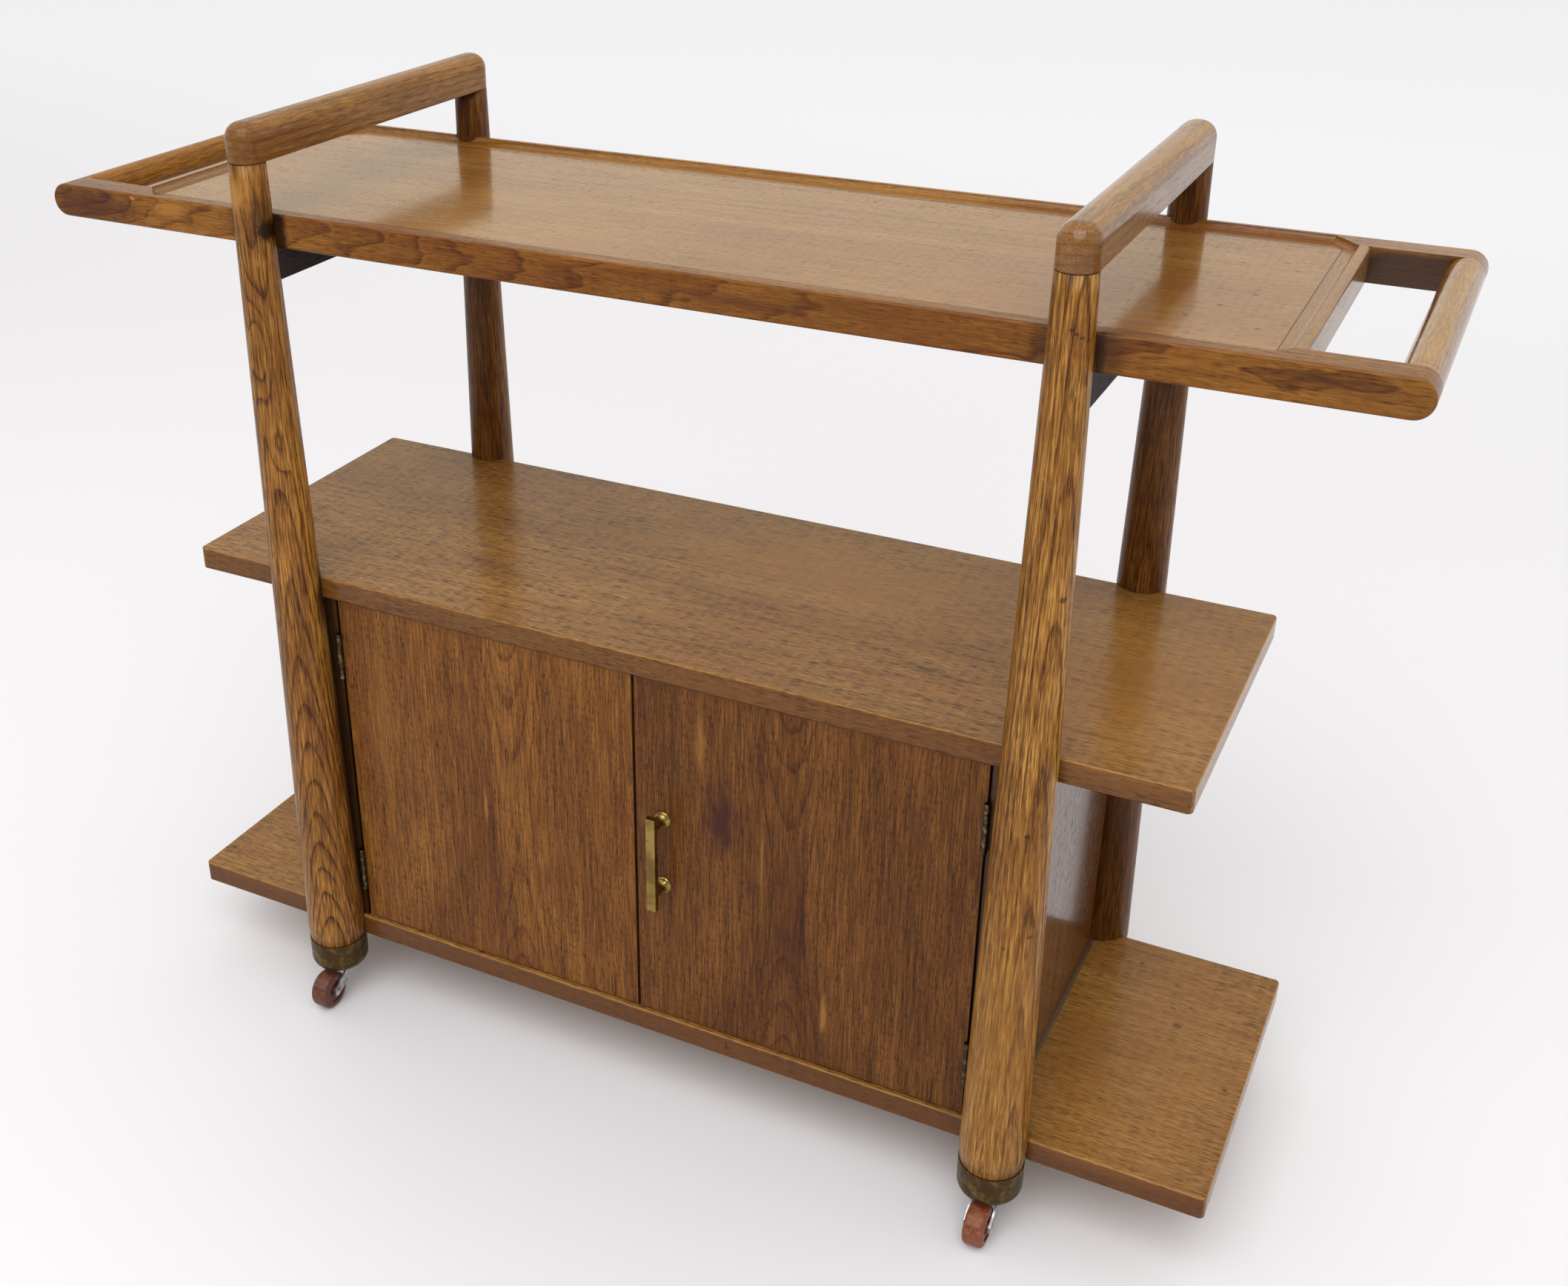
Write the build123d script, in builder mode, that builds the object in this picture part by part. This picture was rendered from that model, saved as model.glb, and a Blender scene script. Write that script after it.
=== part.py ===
from build123d import *
import os
from math import sqrt

# A bar cart on swivel casters. Four turned legs stand in pairs, and each pair is joined
# by a bar over the top. The legs carry a tray with a round handle at each end, a middle
# shelf and a bottom shelf, and a cabinet with two doors stands between the shelves.
# Units are millimetres. X runs along the cart, Y across it from front to back, Z up, and
# the origin is on the floor under the middle of the cart.

os.makedirs("parts", exist_ok=True)

STANDING = (Align.CENTER, Align.CENTER, Align.MIN)
HANGING = (Align.CENTER, Align.CENTER, Align.MAX)
LEFT = -1
RIGHT = 1
FRONT = -1
REAR = 1

# Legs and the bars over them
leg_spread = 755.0
leg_outset = 11.0
leg_foot_radius = 31.5
leg_top_radius = 16.8
leg_foot_easing = 1.5
leg_tenon_radius = 9.0
leg_tenon_length = 20.0
bar_height = 35.5
bar_roll = 14.5
bar_easing = 0.8

# Heights of the open spaces, from the casters upwards
wheel_headroom = 3.0
case_height = 391.2
bay_height = 335.0
arch_clear = 47.5

# Tray
tray_length = 1260.0
tray_outset = 4.0
rail_height = 31.0
rail_thickness = 29.0
rail_easing = 2.5
rail_lip = 6.5
grip_reach = 91.5
end_rail_width = 21.5
end_rail_lip = 9.0
end_rail_roll = 3.0
recess_depth = 5.0
cove_radius = 6.0
panel_thickness = 15.0
panel_ledge = 8.0
handle_tenon_radius = 8.0
handle_tenon_length = 12.0

# Bearers under the tray, from leg to leg
bearer_inset = 0.8
bearer_height = 31.0
bearer_easing = 1.5
bearer_tenon_width = 12.0
bearer_tenon_height = 20.0
bearer_tenon_short = 6.0

# Shelves
shelf_depth = 339.0
shelf_corner = 5.0
shelf_easing = 1.5
middle_shelf_length = 1020.0
middle_shelf_thickness = 23.3
bottom_shelf_length = 1142.0
bottom_shelf_thickness = 24.5

# Cabinet
case_setback = 4.0
housing_depth = 3.0
stile_width = 34.5
stile_thickness = 24.0
side_thickness = 24.0
back_thickness = 8.0
back_to_leg_axis = 39.5

# Doors
door_thickness = 19.0
door_split = -4.5
door_side_gap = 2.0
door_meeting_gap = 2.4
door_end_gap = 1.5
door_easing = 0.8

# Butt hinges
hinge_length = 50.8
hinge_inset = 62.5
hinge_knuckles = 5
knuckle_radius = 3.0
knuckle_gap = 0.3
hinge_pin_radius = 1.1
hinge_proud = 3.4
leaf_thickness = 1.2
leaf_width = 16.0
leaf_parting = 0.4

# Pull on the right door
pull_from_edge = 28.8
pull_rise = 4.5
pull_centres = 76.2
pull_length = 105.8
pull_width = 10.2
pull_thickness = 6.5
pull_projection = 23.5
pull_easing = 1.2
foot_base_radius = 9.0
foot_base_edge = 0.9
foot_dome_radius = 4.0
foot_step_radius = 6.8
foot_step_height = 2.8
foot_hollow_radius = 8.0
foot_neck_radius = 4.0
foot_neck_start = 9.0

# Catch under the middle shelf and the strikes that it holds
catch_length = 92.0
catch_depth = 13.0
catch_height = 12.0
catch_easing = 1.0
catch_gap = 0.3
strike_length = 30.0
strike_height = 15.0
strike_thickness = 1.0
strike_from_edge = 12.0

# Ferrules
ferrule_radius = 30.75
ferrule_height = 37.5
ferrule_wall = 1.5
ferrule_round = 12.0

# Casters
wheel_radius = 20.5
wheel_width = 20.0
wheel_round = 4.5
wheel_dish_radius = 13.0
wheel_dish_depth = 1.0
wheel_dish_slope = 45.0
hub_radius = 6.5
caster_trail = 26.5
fork_wall = 2.0
fork_parting = 1.0
fork_crown_thickness = 3.0
fork_crown_length = 21.0
fork_crown_corner = 5.0
fork_shoulder_radius = 6.5
fork_shoulder_back = 2.0
fork_eye_radius = 4.8
stem_radius = 4.0
stem_length = 30.0
axle_radius = 2.5
axle_head_radius = 4.2
axle_head_height = 1.9
socket_radius = 6.0
socket_flange_radius = 12.0
socket_flange_thickness = 1.2
socket_cap = 2.0

# Clearances
running_clearance = 0.05
hub_clearance = 0.3
swivel_clearance = 0.3
joinery_clearance = 0.1
seam_clearance = 0.3

# Levels that follow from the sizes above
wheel_top = 2 * wheel_radius
ferrule_underside = wheel_top + wheel_headroom
ferrule_top = ferrule_underside + ferrule_height
bottom_shelf_underside = ferrule_top
bottom_shelf_top = bottom_shelf_underside + bottom_shelf_thickness
middle_shelf_underside = bottom_shelf_top + case_height
middle_shelf_top = middle_shelf_underside + middle_shelf_thickness
tray_underside = middle_shelf_top + bay_height
tray_top = tray_underside + rail_height
recess_floor = tray_top - recess_depth
panel_underside = recess_floor - panel_thickness
bearer_z = tray_underside - bearer_height / 2
bar_underside = tray_top + arch_clear
leg_height = bar_underside - ferrule_top

# Places that follow from the sizes above
leg_x = leg_spread / 2
shelf_edge_y = shelf_depth / 2
leg_y = shelf_edge_y + leg_outset
rail_outer_y = shelf_edge_y + tray_outset
rail_inner_y = rail_outer_y - rail_thickness
end_outer_x = tray_length / 2 - grip_reach
end_inner_x = end_outer_x - end_rail_width
handle_radius = rail_height / 2
handle_x = tray_length / 2 - handle_radius
handle_z = tray_top - handle_radius
stile_face_y = case_setback - shelf_edge_y
stile_back_y = stile_face_y + stile_thickness
stile_inner_x = leg_x - stile_width
side_inner_x = leg_x - side_thickness
case_rear_y = leg_y - back_to_leg_axis
case_board_bottom = bottom_shelf_top - housing_depth
case_board_height = case_height + 2 * housing_depth
door_edge_x = stile_inner_x - door_side_gap
door_back_y = stile_face_y + door_thickness
door_bottom = bottom_shelf_top + door_end_gap
door_top = middle_shelf_underside - door_end_gap
door_height = door_top - door_bottom
hinge_x = stile_inner_x - door_side_gap / 2
hinge_y = stile_face_y - hinge_proud
hinge_heights = (door_bottom + hinge_inset, door_top - hinge_inset)
spigot_radius = ferrule_radius - ferrule_wall - joinery_clearance
spigot_bottom = ferrule_underside + ferrule_wall + joinery_clearance
spigot_round = ferrule_round - ferrule_wall

SIDES = {"left": LEFT, "right": RIGHT}
CORNERS = {
    "front_left": (LEFT, FRONT),
    "front_right": (RIGHT, FRONT),
    "rear_left": (LEFT, REAR),
    "rear_right": (RIGHT, REAR),
}


def save(builder, name):
    """Labels a finished piece and writes it under its node's name."""
    builder.part.label = name
    export_step(builder.part, f"parts/{name}.step")


def facing_front(x, y, z=0.0):
    """Plane through a point that faces the front, with X to the right and Z up."""
    return Plane((x, y, z), x_dir=(1, 0, 0), z_dir=(0, -1, 0))


def facing_side(x, y, z=0.0):
    """Plane through a point that faces +X, with its first axis along +Y and Z up."""
    return Plane((x, y, z), x_dir=(0, 1, 0), z_dir=(1, 0, 0))


def upright_axis(x, y):
    """Vertical axis through a point of the plan."""
    return Axis((x, y, 0), (0, 0, 1))


def cut_legs():
    """Copes the piece being built round the four legs, with the legs' own taper."""
    legs = [(side * leg_x, end * leg_y) for side, end in CORNERS.values()]
    foot = leg_foot_radius + joinery_clearance
    top = leg_top_radius + joinery_clearance
    with Locations([(x, y, ferrule_top) for x, y in legs]):
        Cone(foot, top, leg_height, align=STANDING, mode=Mode.SUBTRACT)
        Cylinder(foot, ferrule_top, align=HANGING, mode=Mode.SUBTRACT)


# Legs


def build_leg(x, y, inward):
    """A turned leg, with its spigot, straight taper, tenon, caster bore and mortise."""
    tenon_top = bar_underside + leg_tenon_length
    with BuildPart() as leg:
        with BuildSketch(facing_front(x, y)):
            with BuildLine():
                Polyline(
                    (0, spigot_bottom),
                    (spigot_radius, spigot_bottom),
                    (spigot_radius, ferrule_top),
                    (leg_foot_radius, ferrule_top),
                    (leg_top_radius, bar_underside),
                    (leg_tenon_radius, bar_underside),
                    (leg_tenon_radius, tenon_top),
                    (0, tenon_top),
                    close=True,
                )
            make_face()
            fillet(vertices().sort_by_distance((spigot_radius, spigot_bottom))[0], spigot_round)
            fillet(vertices().sort_by_distance((leg_foot_radius, ferrule_top))[0], leg_foot_easing)
        revolve(axis=upright_axis(x, y))
        with Locations((x, y, spigot_bottom)):
            Cylinder(
                socket_radius + joinery_clearance,
                stem_length + socket_cap + swivel_clearance,
                align=STANDING,
                mode=Mode.SUBTRACT,
            )
        with Locations((x, y + inward * bearer_tenon_short, bearer_z)):
            Box(
                bearer_tenon_width + 2 * joinery_clearance,
                leg_foot_radius,
                bearer_tenon_height + 2 * joinery_clearance,
                align=(Align.CENTER, Align.MIN if inward > 0 else Align.MAX, Align.CENTER),
                mode=Mode.SUBTRACT,
            )
    return leg


for name, (side, end) in CORNERS.items():
    save(build_leg(side * leg_x, end * leg_y, -end), f"leg_{name}")


def build_arch_bar(x):
    """The bar over a pair of legs: round ended, rolled over on top, bored for the tenons."""
    with BuildPart() as bar:
        with BuildSketch(Plane((x, 0, bar_underside))):
            SlotCenterToCenter(2 * leg_y, 2 * leg_top_radius, rotation=90)
        extrude(amount=bar_height)
        fillet(bar.faces().sort_by(Axis.Z)[-1].edges(), bar_roll)
        fillet(bar.faces().sort_by(Axis.Z)[0].edges(), bar_easing)
        with Locations([(x, -leg_y, bar_underside), (x, leg_y, bar_underside)]):
            Cylinder(
                leg_tenon_radius + joinery_clearance,
                leg_tenon_length + 2 * joinery_clearance,
                align=STANDING,
                mode=Mode.SUBTRACT,
            )
    return bar


for name, side in SIDES.items():
    save(build_arch_bar(side * leg_x), f"arch_bar_{name}")


# Tray

# The recess was cut into the long rails with a round-nosed cutter, which leaves a narrow
# lip outside it and stops on a slant at each end, where the rails take their full width.
cove_width = sqrt(cove_radius**2 - (cove_radius - recess_depth) ** 2)
recess_lip_x = end_outer_x - end_rail_lip
recess_lip_y = rail_outer_y - rail_lip
cutter_margin = cove_radius - cove_width
with BuildPart() as recess_cutter:
    with BuildSketch(Plane.XY.offset(recess_floor)):
        Rectangle(2 * (recess_lip_x + cutter_margin), 2 * (recess_lip_y + cutter_margin))
        chamfer(vertices(), recess_lip_y - rail_inner_y)
    extrude(amount=rail_height)
    fillet(recess_cutter.faces().sort_by(Axis.Z)[0].edges(), cove_radius)


def build_tray_rail(end):
    """A long rail of the tray: round ended, coved inside, with the ledge for the panel."""
    outer_plane_y = rail_outer_y if end == REAR else -rail_inner_y
    ledge_y = end * (rail_inner_y - panel_ledge / 2)
    ledge_height = panel_underside - tray_underside
    with BuildPart() as rail:
        with BuildSketch(facing_front(0, outer_plane_y, handle_z)):
            SlotOverall(tray_length, rail_height)
        extrude(amount=rail_thickness)
        fillet(rail.faces().sort_by(Axis((0, 0, 0), (0, end, 0)))[-1].edges(), rail_easing)
        with Locations((0, ledge_y, tray_underside)):
            Box(2 * end_inner_x, panel_ledge, ledge_height, align=STANDING)
        add(recess_cutter.part, mode=Mode.SUBTRACT)
        tenon_plane = Plane((0, end * rail_inner_y, handle_z), x_dir=(1, 0, 0), z_dir=(0, -end, 0))
        with BuildSketch(tenon_plane):
            with Locations((handle_x, 0), (-handle_x, 0)):
                Circle(handle_tenon_radius + joinery_clearance)
        extrude(amount=-(handle_tenon_length + joinery_clearance), mode=Mode.SUBTRACT)
        cut_legs()
    return rail


save(build_tray_rail(FRONT), "tray_rail_front")
save(build_tray_rail(REAR), "tray_rail_rear")


def build_tray_end(side):
    """A cross rail of the tray: rolled over outside, coved inside, ledged for the panel."""
    roll_x = end_outer_x - end_rail_roll
    cove_foot_x = recess_lip_x - cove_width
    with BuildPart() as tray_end:
        with BuildSketch(facing_front(0, rail_inner_y)):
            with BuildLine():
                Polyline(
                    (cove_foot_x, recess_floor),
                    (end_inner_x, recess_floor),
                    (end_inner_x, tray_underside),
                    (end_outer_x, tray_underside),
                    (end_outer_x, tray_top - end_rail_roll),
                )
                RadiusArc((end_outer_x, tray_top - end_rail_roll), (roll_x, tray_top), -end_rail_roll)
                Line((roll_x, tray_top), (recess_lip_x, tray_top))
                RadiusArc((recess_lip_x, tray_top), (cove_foot_x, recess_floor), cove_radius)
            make_face()
            if side == LEFT:
                mirror(about=Plane.YZ, mode=Mode.REPLACE)
        extrude(amount=2 * rail_inner_y)
        with Locations((side * (end_inner_x - panel_ledge / 2), 0, tray_underside)):
            Box(
                panel_ledge,
                2 * (rail_inner_y - panel_ledge),
                panel_underside - tray_underside,
                align=STANDING,
            )
    return tray_end


for name, side in SIDES.items():
    save(build_tray_end(side), f"tray_end_{name}")

with BuildPart() as tray_panel:
    with BuildSketch(Plane.XY.offset(panel_underside)):
        Rectangle(2 * (end_inner_x - seam_clearance), 2 * (rail_inner_y - seam_clearance))
    extrude(amount=panel_thickness)
save(tray_panel, "tray_panel")


def build_tray_handle(side):
    """The round grip between the rails' ends, flush with them, tenoned into both."""
    with BuildPart() as handle:
        with BuildSketch(facing_front(side * handle_x, rail_inner_y, handle_z)):
            Circle(handle_radius)
        extrude(amount=2 * rail_inner_y)
        tenon_start = rail_inner_y + handle_tenon_length
        with BuildSketch(facing_front(side * handle_x, tenon_start, handle_z)):
            Circle(handle_tenon_radius)
        extrude(amount=2 * tenon_start)
    return handle


for name, side in SIDES.items():
    save(build_tray_handle(side), f"tray_handle_{name}")


# Bearers


def build_bearer(x):
    """The rail under the tray from leg to leg, coped and tenoned into both."""
    bearer_width = 2 * (leg_top_radius - bearer_inset)
    with BuildPart() as bearer:
        with Locations((x, 0, tray_underside)):
            Box(bearer_width, 2 * leg_y, bearer_height, align=HANGING)
        fillet(bearer.faces().sort_by(Axis.Z)[0].edges().filter_by(Axis.Y), bearer_easing)
        cut_legs()
        with Locations((x, 0, bearer_z)):
            Box(bearer_tenon_width, 2 * (leg_y - bearer_tenon_short), bearer_tenon_height)
    return bearer


for name, side in SIDES.items():
    save(build_bearer(side * leg_x), f"bearer_{name}")


# Shelves


def cut_case_housings():
    """Lets the ends of the cabinet's boards into the shelf being built, above or below."""
    with BuildSketch(Plane.XY.offset(case_board_bottom)) as footprint:
        with Locations((0, case_rear_y)):
            Rectangle(2 * side_inner_x, back_thickness, align=(Align.CENTER, Align.MAX))
        for side in (LEFT, RIGHT):
            with Locations((side * leg_x, stile_face_y)):
                toward_middle = Align.MIN if side == LEFT else Align.MAX
                Rectangle(stile_width, stile_thickness, align=(toward_middle, Align.MIN))
                Rectangle(side_thickness, case_rear_y - stile_face_y, align=(toward_middle, Align.MIN))
        offset(amount=joinery_clearance, kind=Kind.INTERSECTION)
    extrude(footprint.sketch, amount=case_board_height, mode=Mode.SUBTRACT)


def build_shelf(length, thickness, underside):
    """A solid board with eased edges, coped round the four legs and housed for the cabinet."""
    with BuildPart() as shelf:
        with BuildSketch(Plane.XY.offset(underside)):
            RectangleRounded(length, shelf_depth, shelf_corner)
        extrude(amount=thickness)
        fillet(shelf.faces().filter_by(Axis.Z).edges(), shelf_easing)
        cut_legs()
        cut_case_housings()
    return shelf


save(
    build_shelf(middle_shelf_length, middle_shelf_thickness, middle_shelf_underside),
    "middle_shelf",
)
save(
    build_shelf(bottom_shelf_length, bottom_shelf_thickness, bottom_shelf_underside),
    "bottom_shelf",
)


# Cabinet


def cut_leaf_mortises(edge_x):
    """Lets the hinge leaves into the edge being built."""
    leaf_start = stile_face_y - joinery_clearance
    leaf_end = hinge_y + knuckle_radius + knuckle_gap + leaf_width + joinery_clearance
    depth = leaf_parting / 2 + leaf_thickness - door_side_gap / 2
    with Locations([(edge_x, leaf_start, z) for z in hinge_heights]):
        Box(
            2 * depth,
            leaf_end - leaf_start,
            hinge_length + 2 * joinery_clearance,
            align=(Align.CENTER, Align.MIN, Align.CENTER),
            mode=Mode.SUBTRACT,
        )


def build_stile(side):
    """The upright that a door hangs on, coped round the leg beside it."""
    with BuildPart() as stile:
        with Locations((side * (leg_x - stile_width / 2), stile_face_y, case_board_bottom)):
            Box(
                stile_width,
                stile_thickness,
                case_board_height,
                align=(Align.CENTER, Align.MIN, Align.MIN),
            )
        cut_legs()
        cut_leaf_mortises(side * stile_inner_x)
    return stile


def build_case_side(side):
    """A side board of the cabinet, from the stile to the open rear corner."""
    with BuildPart() as case_side:
        with Locations((side * (leg_x - side_thickness / 2), stile_back_y, case_board_bottom)):
            Box(
                side_thickness,
                case_rear_y - stile_back_y,
                case_board_height,
                align=(Align.CENTER, Align.MIN, Align.MIN),
            )
    return case_side


for name, side in SIDES.items():
    save(build_stile(side), f"case_stile_{name}")
    save(build_case_side(side), f"case_side_{name}")

with BuildPart() as case_back:
    with Locations((0, case_rear_y, case_board_bottom)):
        Box(
            2 * (side_inner_x - joinery_clearance),
            back_thickness,
            case_board_height,
            align=(Align.CENTER, Align.MAX, Align.MIN),
        )
save(case_back, "case_back")


# Doors


def build_door(side):
    """A flush door, eased on its face, with mortises for its two hinges."""
    hinge_edge = side * door_edge_x
    meeting_edge = door_split + side * door_meeting_gap / 2
    with BuildPart() as door:
        with Locations(((hinge_edge + meeting_edge) / 2, stile_face_y, door_bottom)):
            Box(
                abs(hinge_edge - meeting_edge),
                door_thickness,
                door_height,
                align=(Align.CENTER, Align.MIN, Align.MIN),
            )
        fillet(door.faces().sort_by(Axis.Y)[0].edges(), door_easing)
        cut_leaf_mortises(hinge_edge)
    return door


for name, side in SIDES.items():
    save(build_door(side), f"door_{name}")

# Hinges

knuckle_length = (hinge_length - (hinge_knuckles - 1) * knuckle_gap) / hinge_knuckles
knuckle_pitch = knuckle_length + knuckle_gap


def build_hinge_leaves(side, on_door):
    """The leaves of a door's two hinges on one part, with every other knuckle each."""
    wood_side = -side if on_door else side
    plate_x = side * hinge_x + wood_side * (leaf_parting + leaf_thickness) / 2
    plate_start = hinge_y + knuckle_radius + knuckle_gap
    first = 1 if on_door else 0
    with BuildPart() as leaves:
        for centre in hinge_heights:
            with Locations((plate_x, plate_start, centre)):
                Box(
                    leaf_thickness,
                    leaf_width,
                    hinge_length,
                    align=(Align.CENTER, Align.MIN, Align.CENTER),
                )
            start = centre - hinge_length / 2
            bottoms = [start + k * knuckle_pitch for k in range(first, hinge_knuckles, 2)]
            with Locations([(side * hinge_x, hinge_y, z) for z in bottoms]):
                Cylinder(knuckle_radius, knuckle_length, align=STANDING)
            with Locations([(plate_x, hinge_y, z) for z in bottoms]):
                Box(
                    leaf_thickness,
                    plate_start - hinge_y,
                    knuckle_length,
                    align=(Align.CENTER, Align.MIN, Align.MIN),
                )
            with Locations((side * hinge_x, hinge_y, centre)):
                Cylinder(hinge_pin_radius + running_clearance, hinge_length, mode=Mode.SUBTRACT)
    return leaves


def build_hinge_pins(side):
    """The pins of a door's two hinges, as long as the knuckles."""
    with BuildPart() as pins:
        with Locations([(side * hinge_x, hinge_y, centre) for centre in hinge_heights]):
            Cylinder(hinge_pin_radius, hinge_length)
    return pins


for name, side in SIDES.items():
    save(build_hinge_leaves(side, on_door=False), f"hinge_leaves_case_{name}")
    save(build_hinge_leaves(side, on_door=True), f"hinge_leaves_door_{name}")
    save(build_hinge_pins(side), f"hinge_pins_{name}")

# Pull

pull_x = door_split + door_meeting_gap / 2 + pull_from_edge
pull_z = (door_bottom + door_top) / 2 + pull_rise
pull_y = stile_face_y - pull_projection
foot_length = pull_projection - pull_thickness / 2

with BuildPart() as pull_bar:
    with Locations((pull_x, pull_y, pull_z)):
        Box(pull_width, pull_thickness, pull_length)
    fillet(pull_bar.faces().sort_by(Axis.Y)[0].edges(), pull_easing)
save(pull_bar, "pull_bar")


# Each foot is turned: a domed base on the door, and a hollow from there up to the neck.
foot_edge = (foot_base_radius, -foot_base_edge)
foot_step = (foot_step_radius, -foot_step_height)
foot_neck = (foot_neck_radius, -foot_neck_start)
with BuildPart() as pull_feet:
    for foot_z in (pull_z - pull_centres / 2, pull_z + pull_centres / 2):
        with BuildSketch(Plane((pull_x, stile_face_y, foot_z), x_dir=(1, 0, 0), z_dir=(0, 0, 1))):
            with BuildLine():
                Polyline((0, -foot_length), (0, 0), (foot_base_radius, 0), foot_edge)
                RadiusArc(foot_edge, foot_step, foot_dome_radius)
                RadiusArc(foot_step, foot_neck, -foot_hollow_radius)
                Polyline(foot_neck, (foot_neck_radius, -foot_length), (0, -foot_length))
            make_face()
        revolve(axis=Axis((pull_x, stile_face_y, foot_z), (0, 1, 0)))
save(pull_feet, "pull_feet")

# Catch and strikes

strike_face_y = door_back_y + strike_thickness
catch_front_y = strike_face_y + catch_gap

with BuildPart() as door_catch:
    with Locations((door_split, catch_front_y, middle_shelf_underside)):
        Box(
            catch_length,
            catch_depth,
            catch_height,
            align=(Align.CENTER, Align.MIN, Align.MAX),
        )
    fillet(door_catch.edges().filter_by(Axis.Z), catch_easing)
save(door_catch, "door_catch")


def build_strike(side):
    """The plate on the back of a door that the catch holds."""
    centre_x = door_split + side * (door_meeting_gap / 2 + strike_from_edge + strike_length / 2)
    with BuildPart() as strike:
        with Locations((centre_x, door_back_y, door_top - joinery_clearance)):
            Box(
                strike_length,
                strike_thickness,
                strike_height,
                align=(Align.CENTER, Align.MIN, Align.MAX),
            )
    return strike


for name, side in SIDES.items():
    save(build_strike(side), f"strike_{name}")


# Ferrules


def build_ferrule(x, y):
    """A brass cup on the leg's foot, rounded below, with a hole for the caster's socket."""
    with BuildPart() as ferrule:
        with Locations((x, y, ferrule_underside)):
            Cylinder(ferrule_radius, ferrule_height, align=STANDING)
        fillet(ferrule.faces().sort_by(Axis.Z)[0].edges(), ferrule_round)
        offset(amount=-ferrule_wall, openings=ferrule.faces().sort_by(Axis.Z)[-1])
        with Locations((x, y, ferrule_underside)):
            Cylinder(
                socket_radius + joinery_clearance,
                2 * ferrule_wall,
                mode=Mode.SUBTRACT,
            )
    return ferrule


# Casters

crown_top = ferrule_underside - socket_flange_thickness - swivel_clearance
crown_underside = crown_top - fork_crown_thickness
fork_inner = wheel_width / 2 + fork_parting
fork_outer = fork_inner + fork_wall


def build_caster_socket(x, y):
    """The steel sleeve up the leg that the stem turns in, flanged under the ferrule."""
    bore_length = stem_length - (ferrule_underside - crown_top) + swivel_clearance
    with BuildPart() as socket:
        with Locations((x, y, ferrule_underside)):
            Cylinder(socket_radius, bore_length + socket_cap, align=STANDING)
            Cylinder(socket_flange_radius, socket_flange_thickness, align=HANGING)
        with Locations((x, y, ferrule_underside - socket_flange_thickness)):
            Cylinder(
                stem_radius + running_clearance,
                socket_flange_thickness + bore_length,
                align=STANDING,
                mode=Mode.SUBTRACT,
            )
    return socket


def build_caster_fork(x, y, trail):
    """The fork: a crown under the socket, a stem up into it, and an arm beside the wheel."""
    axle_y = trail * caster_trail
    with BuildPart() as fork:
        with BuildSketch(Plane((x, y, crown_underside))):
            RectangleRounded(2 * fork_outer, fork_crown_length, fork_crown_corner)
        extrude(amount=fork_crown_thickness)
        with BuildSketch(facing_side(x - fork_outer, y)):
            with Locations((trail * fork_shoulder_back, crown_top - fork_shoulder_radius)):
                Circle(fork_shoulder_radius)
            with Locations((axle_y, wheel_radius)):
                Circle(fork_eye_radius)
            make_hull()
            with Locations((axle_y, wheel_radius)):
                Circle(axle_radius + joinery_clearance, mode=Mode.SUBTRACT)
        extrude(amount=2 * fork_outer)
        with Locations((x, y + axle_y, 0)):
            Box(
                2 * fork_inner,
                2 * (caster_trail + wheel_radius),
                crown_underside,
                align=STANDING,
                mode=Mode.SUBTRACT,
            )
        with Locations((x, y, crown_top)):
            Cylinder(stem_radius, stem_length, align=STANDING)
    return fork


def build_caster_axle(x, y):
    """The rivet through the fork and the wheel, with a domed head at each end."""
    dome_radius = (axle_head_radius**2 + axle_head_height**2) / (2 * axle_head_height)
    with BuildPart() as axle:
        with BuildSketch(facing_side(x - fork_outer, y, wheel_radius)):
            Circle(axle_radius)
        extrude(amount=2 * fork_outer)
        for side in (LEFT, RIGHT):
            face_x = x + side * fork_outer
            with BuildSketch(facing_front(face_x, y, wheel_radius)):
                with BuildLine():
                    Line((0, 0), (0, axle_head_radius))
                    RadiusArc((0, axle_head_radius), (side * axle_head_height, 0), side * dome_radius)
                    Line((side * axle_head_height, 0), (0, 0))
                make_face()
            revolve(axis=Axis((face_x, y, wheel_radius), (1, 0, 0)))
    return axle


def build_caster_wheel(x, y):
    """A solid wheel, rounded at both edges and dished round its hub."""
    with BuildPart() as wheel:
        with BuildSketch(facing_side(x - wheel_width / 2, y, wheel_radius)):
            Circle(wheel_radius)
        extrude(amount=wheel_width)
        fillet(wheel.edges().filter_by(GeomType.CIRCLE), wheel_round)
        for side in (LEFT, RIGHT):
            face = Plane(
                (x + side * wheel_width / 2, y, wheel_radius),
                x_dir=(0, 1, 0),
                z_dir=(side, 0, 0),
            )
            with BuildSketch(face):
                Circle(wheel_dish_radius)
            extrude(amount=-wheel_dish_depth, taper=-wheel_dish_slope, mode=Mode.SUBTRACT)
            with BuildSketch(face.offset(-wheel_dish_depth)):
                Circle(hub_radius)
            extrude(amount=wheel_dish_depth + fork_parting - hub_clearance)
        with BuildSketch(facing_side(x - fork_inner, y, wheel_radius)):
            Circle(axle_radius + running_clearance)
        extrude(amount=2 * fork_inner, mode=Mode.SUBTRACT)
    return wheel


for name, (side, end) in CORNERS.items():
    x = side * leg_x
    y = end * leg_y
    axle_y = y + end * caster_trail
    save(build_ferrule(x, y), f"ferrule_{name}")
    save(build_caster_socket(x, y), f"caster_socket_{name}")
    save(build_caster_fork(x, y, end), f"caster_fork_{name}")
    save(build_caster_axle(x, axle_y), f"caster_axle_{name}")
    save(build_caster_wheel(x, axle_y), f"caster_wheel_{name}")
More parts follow.
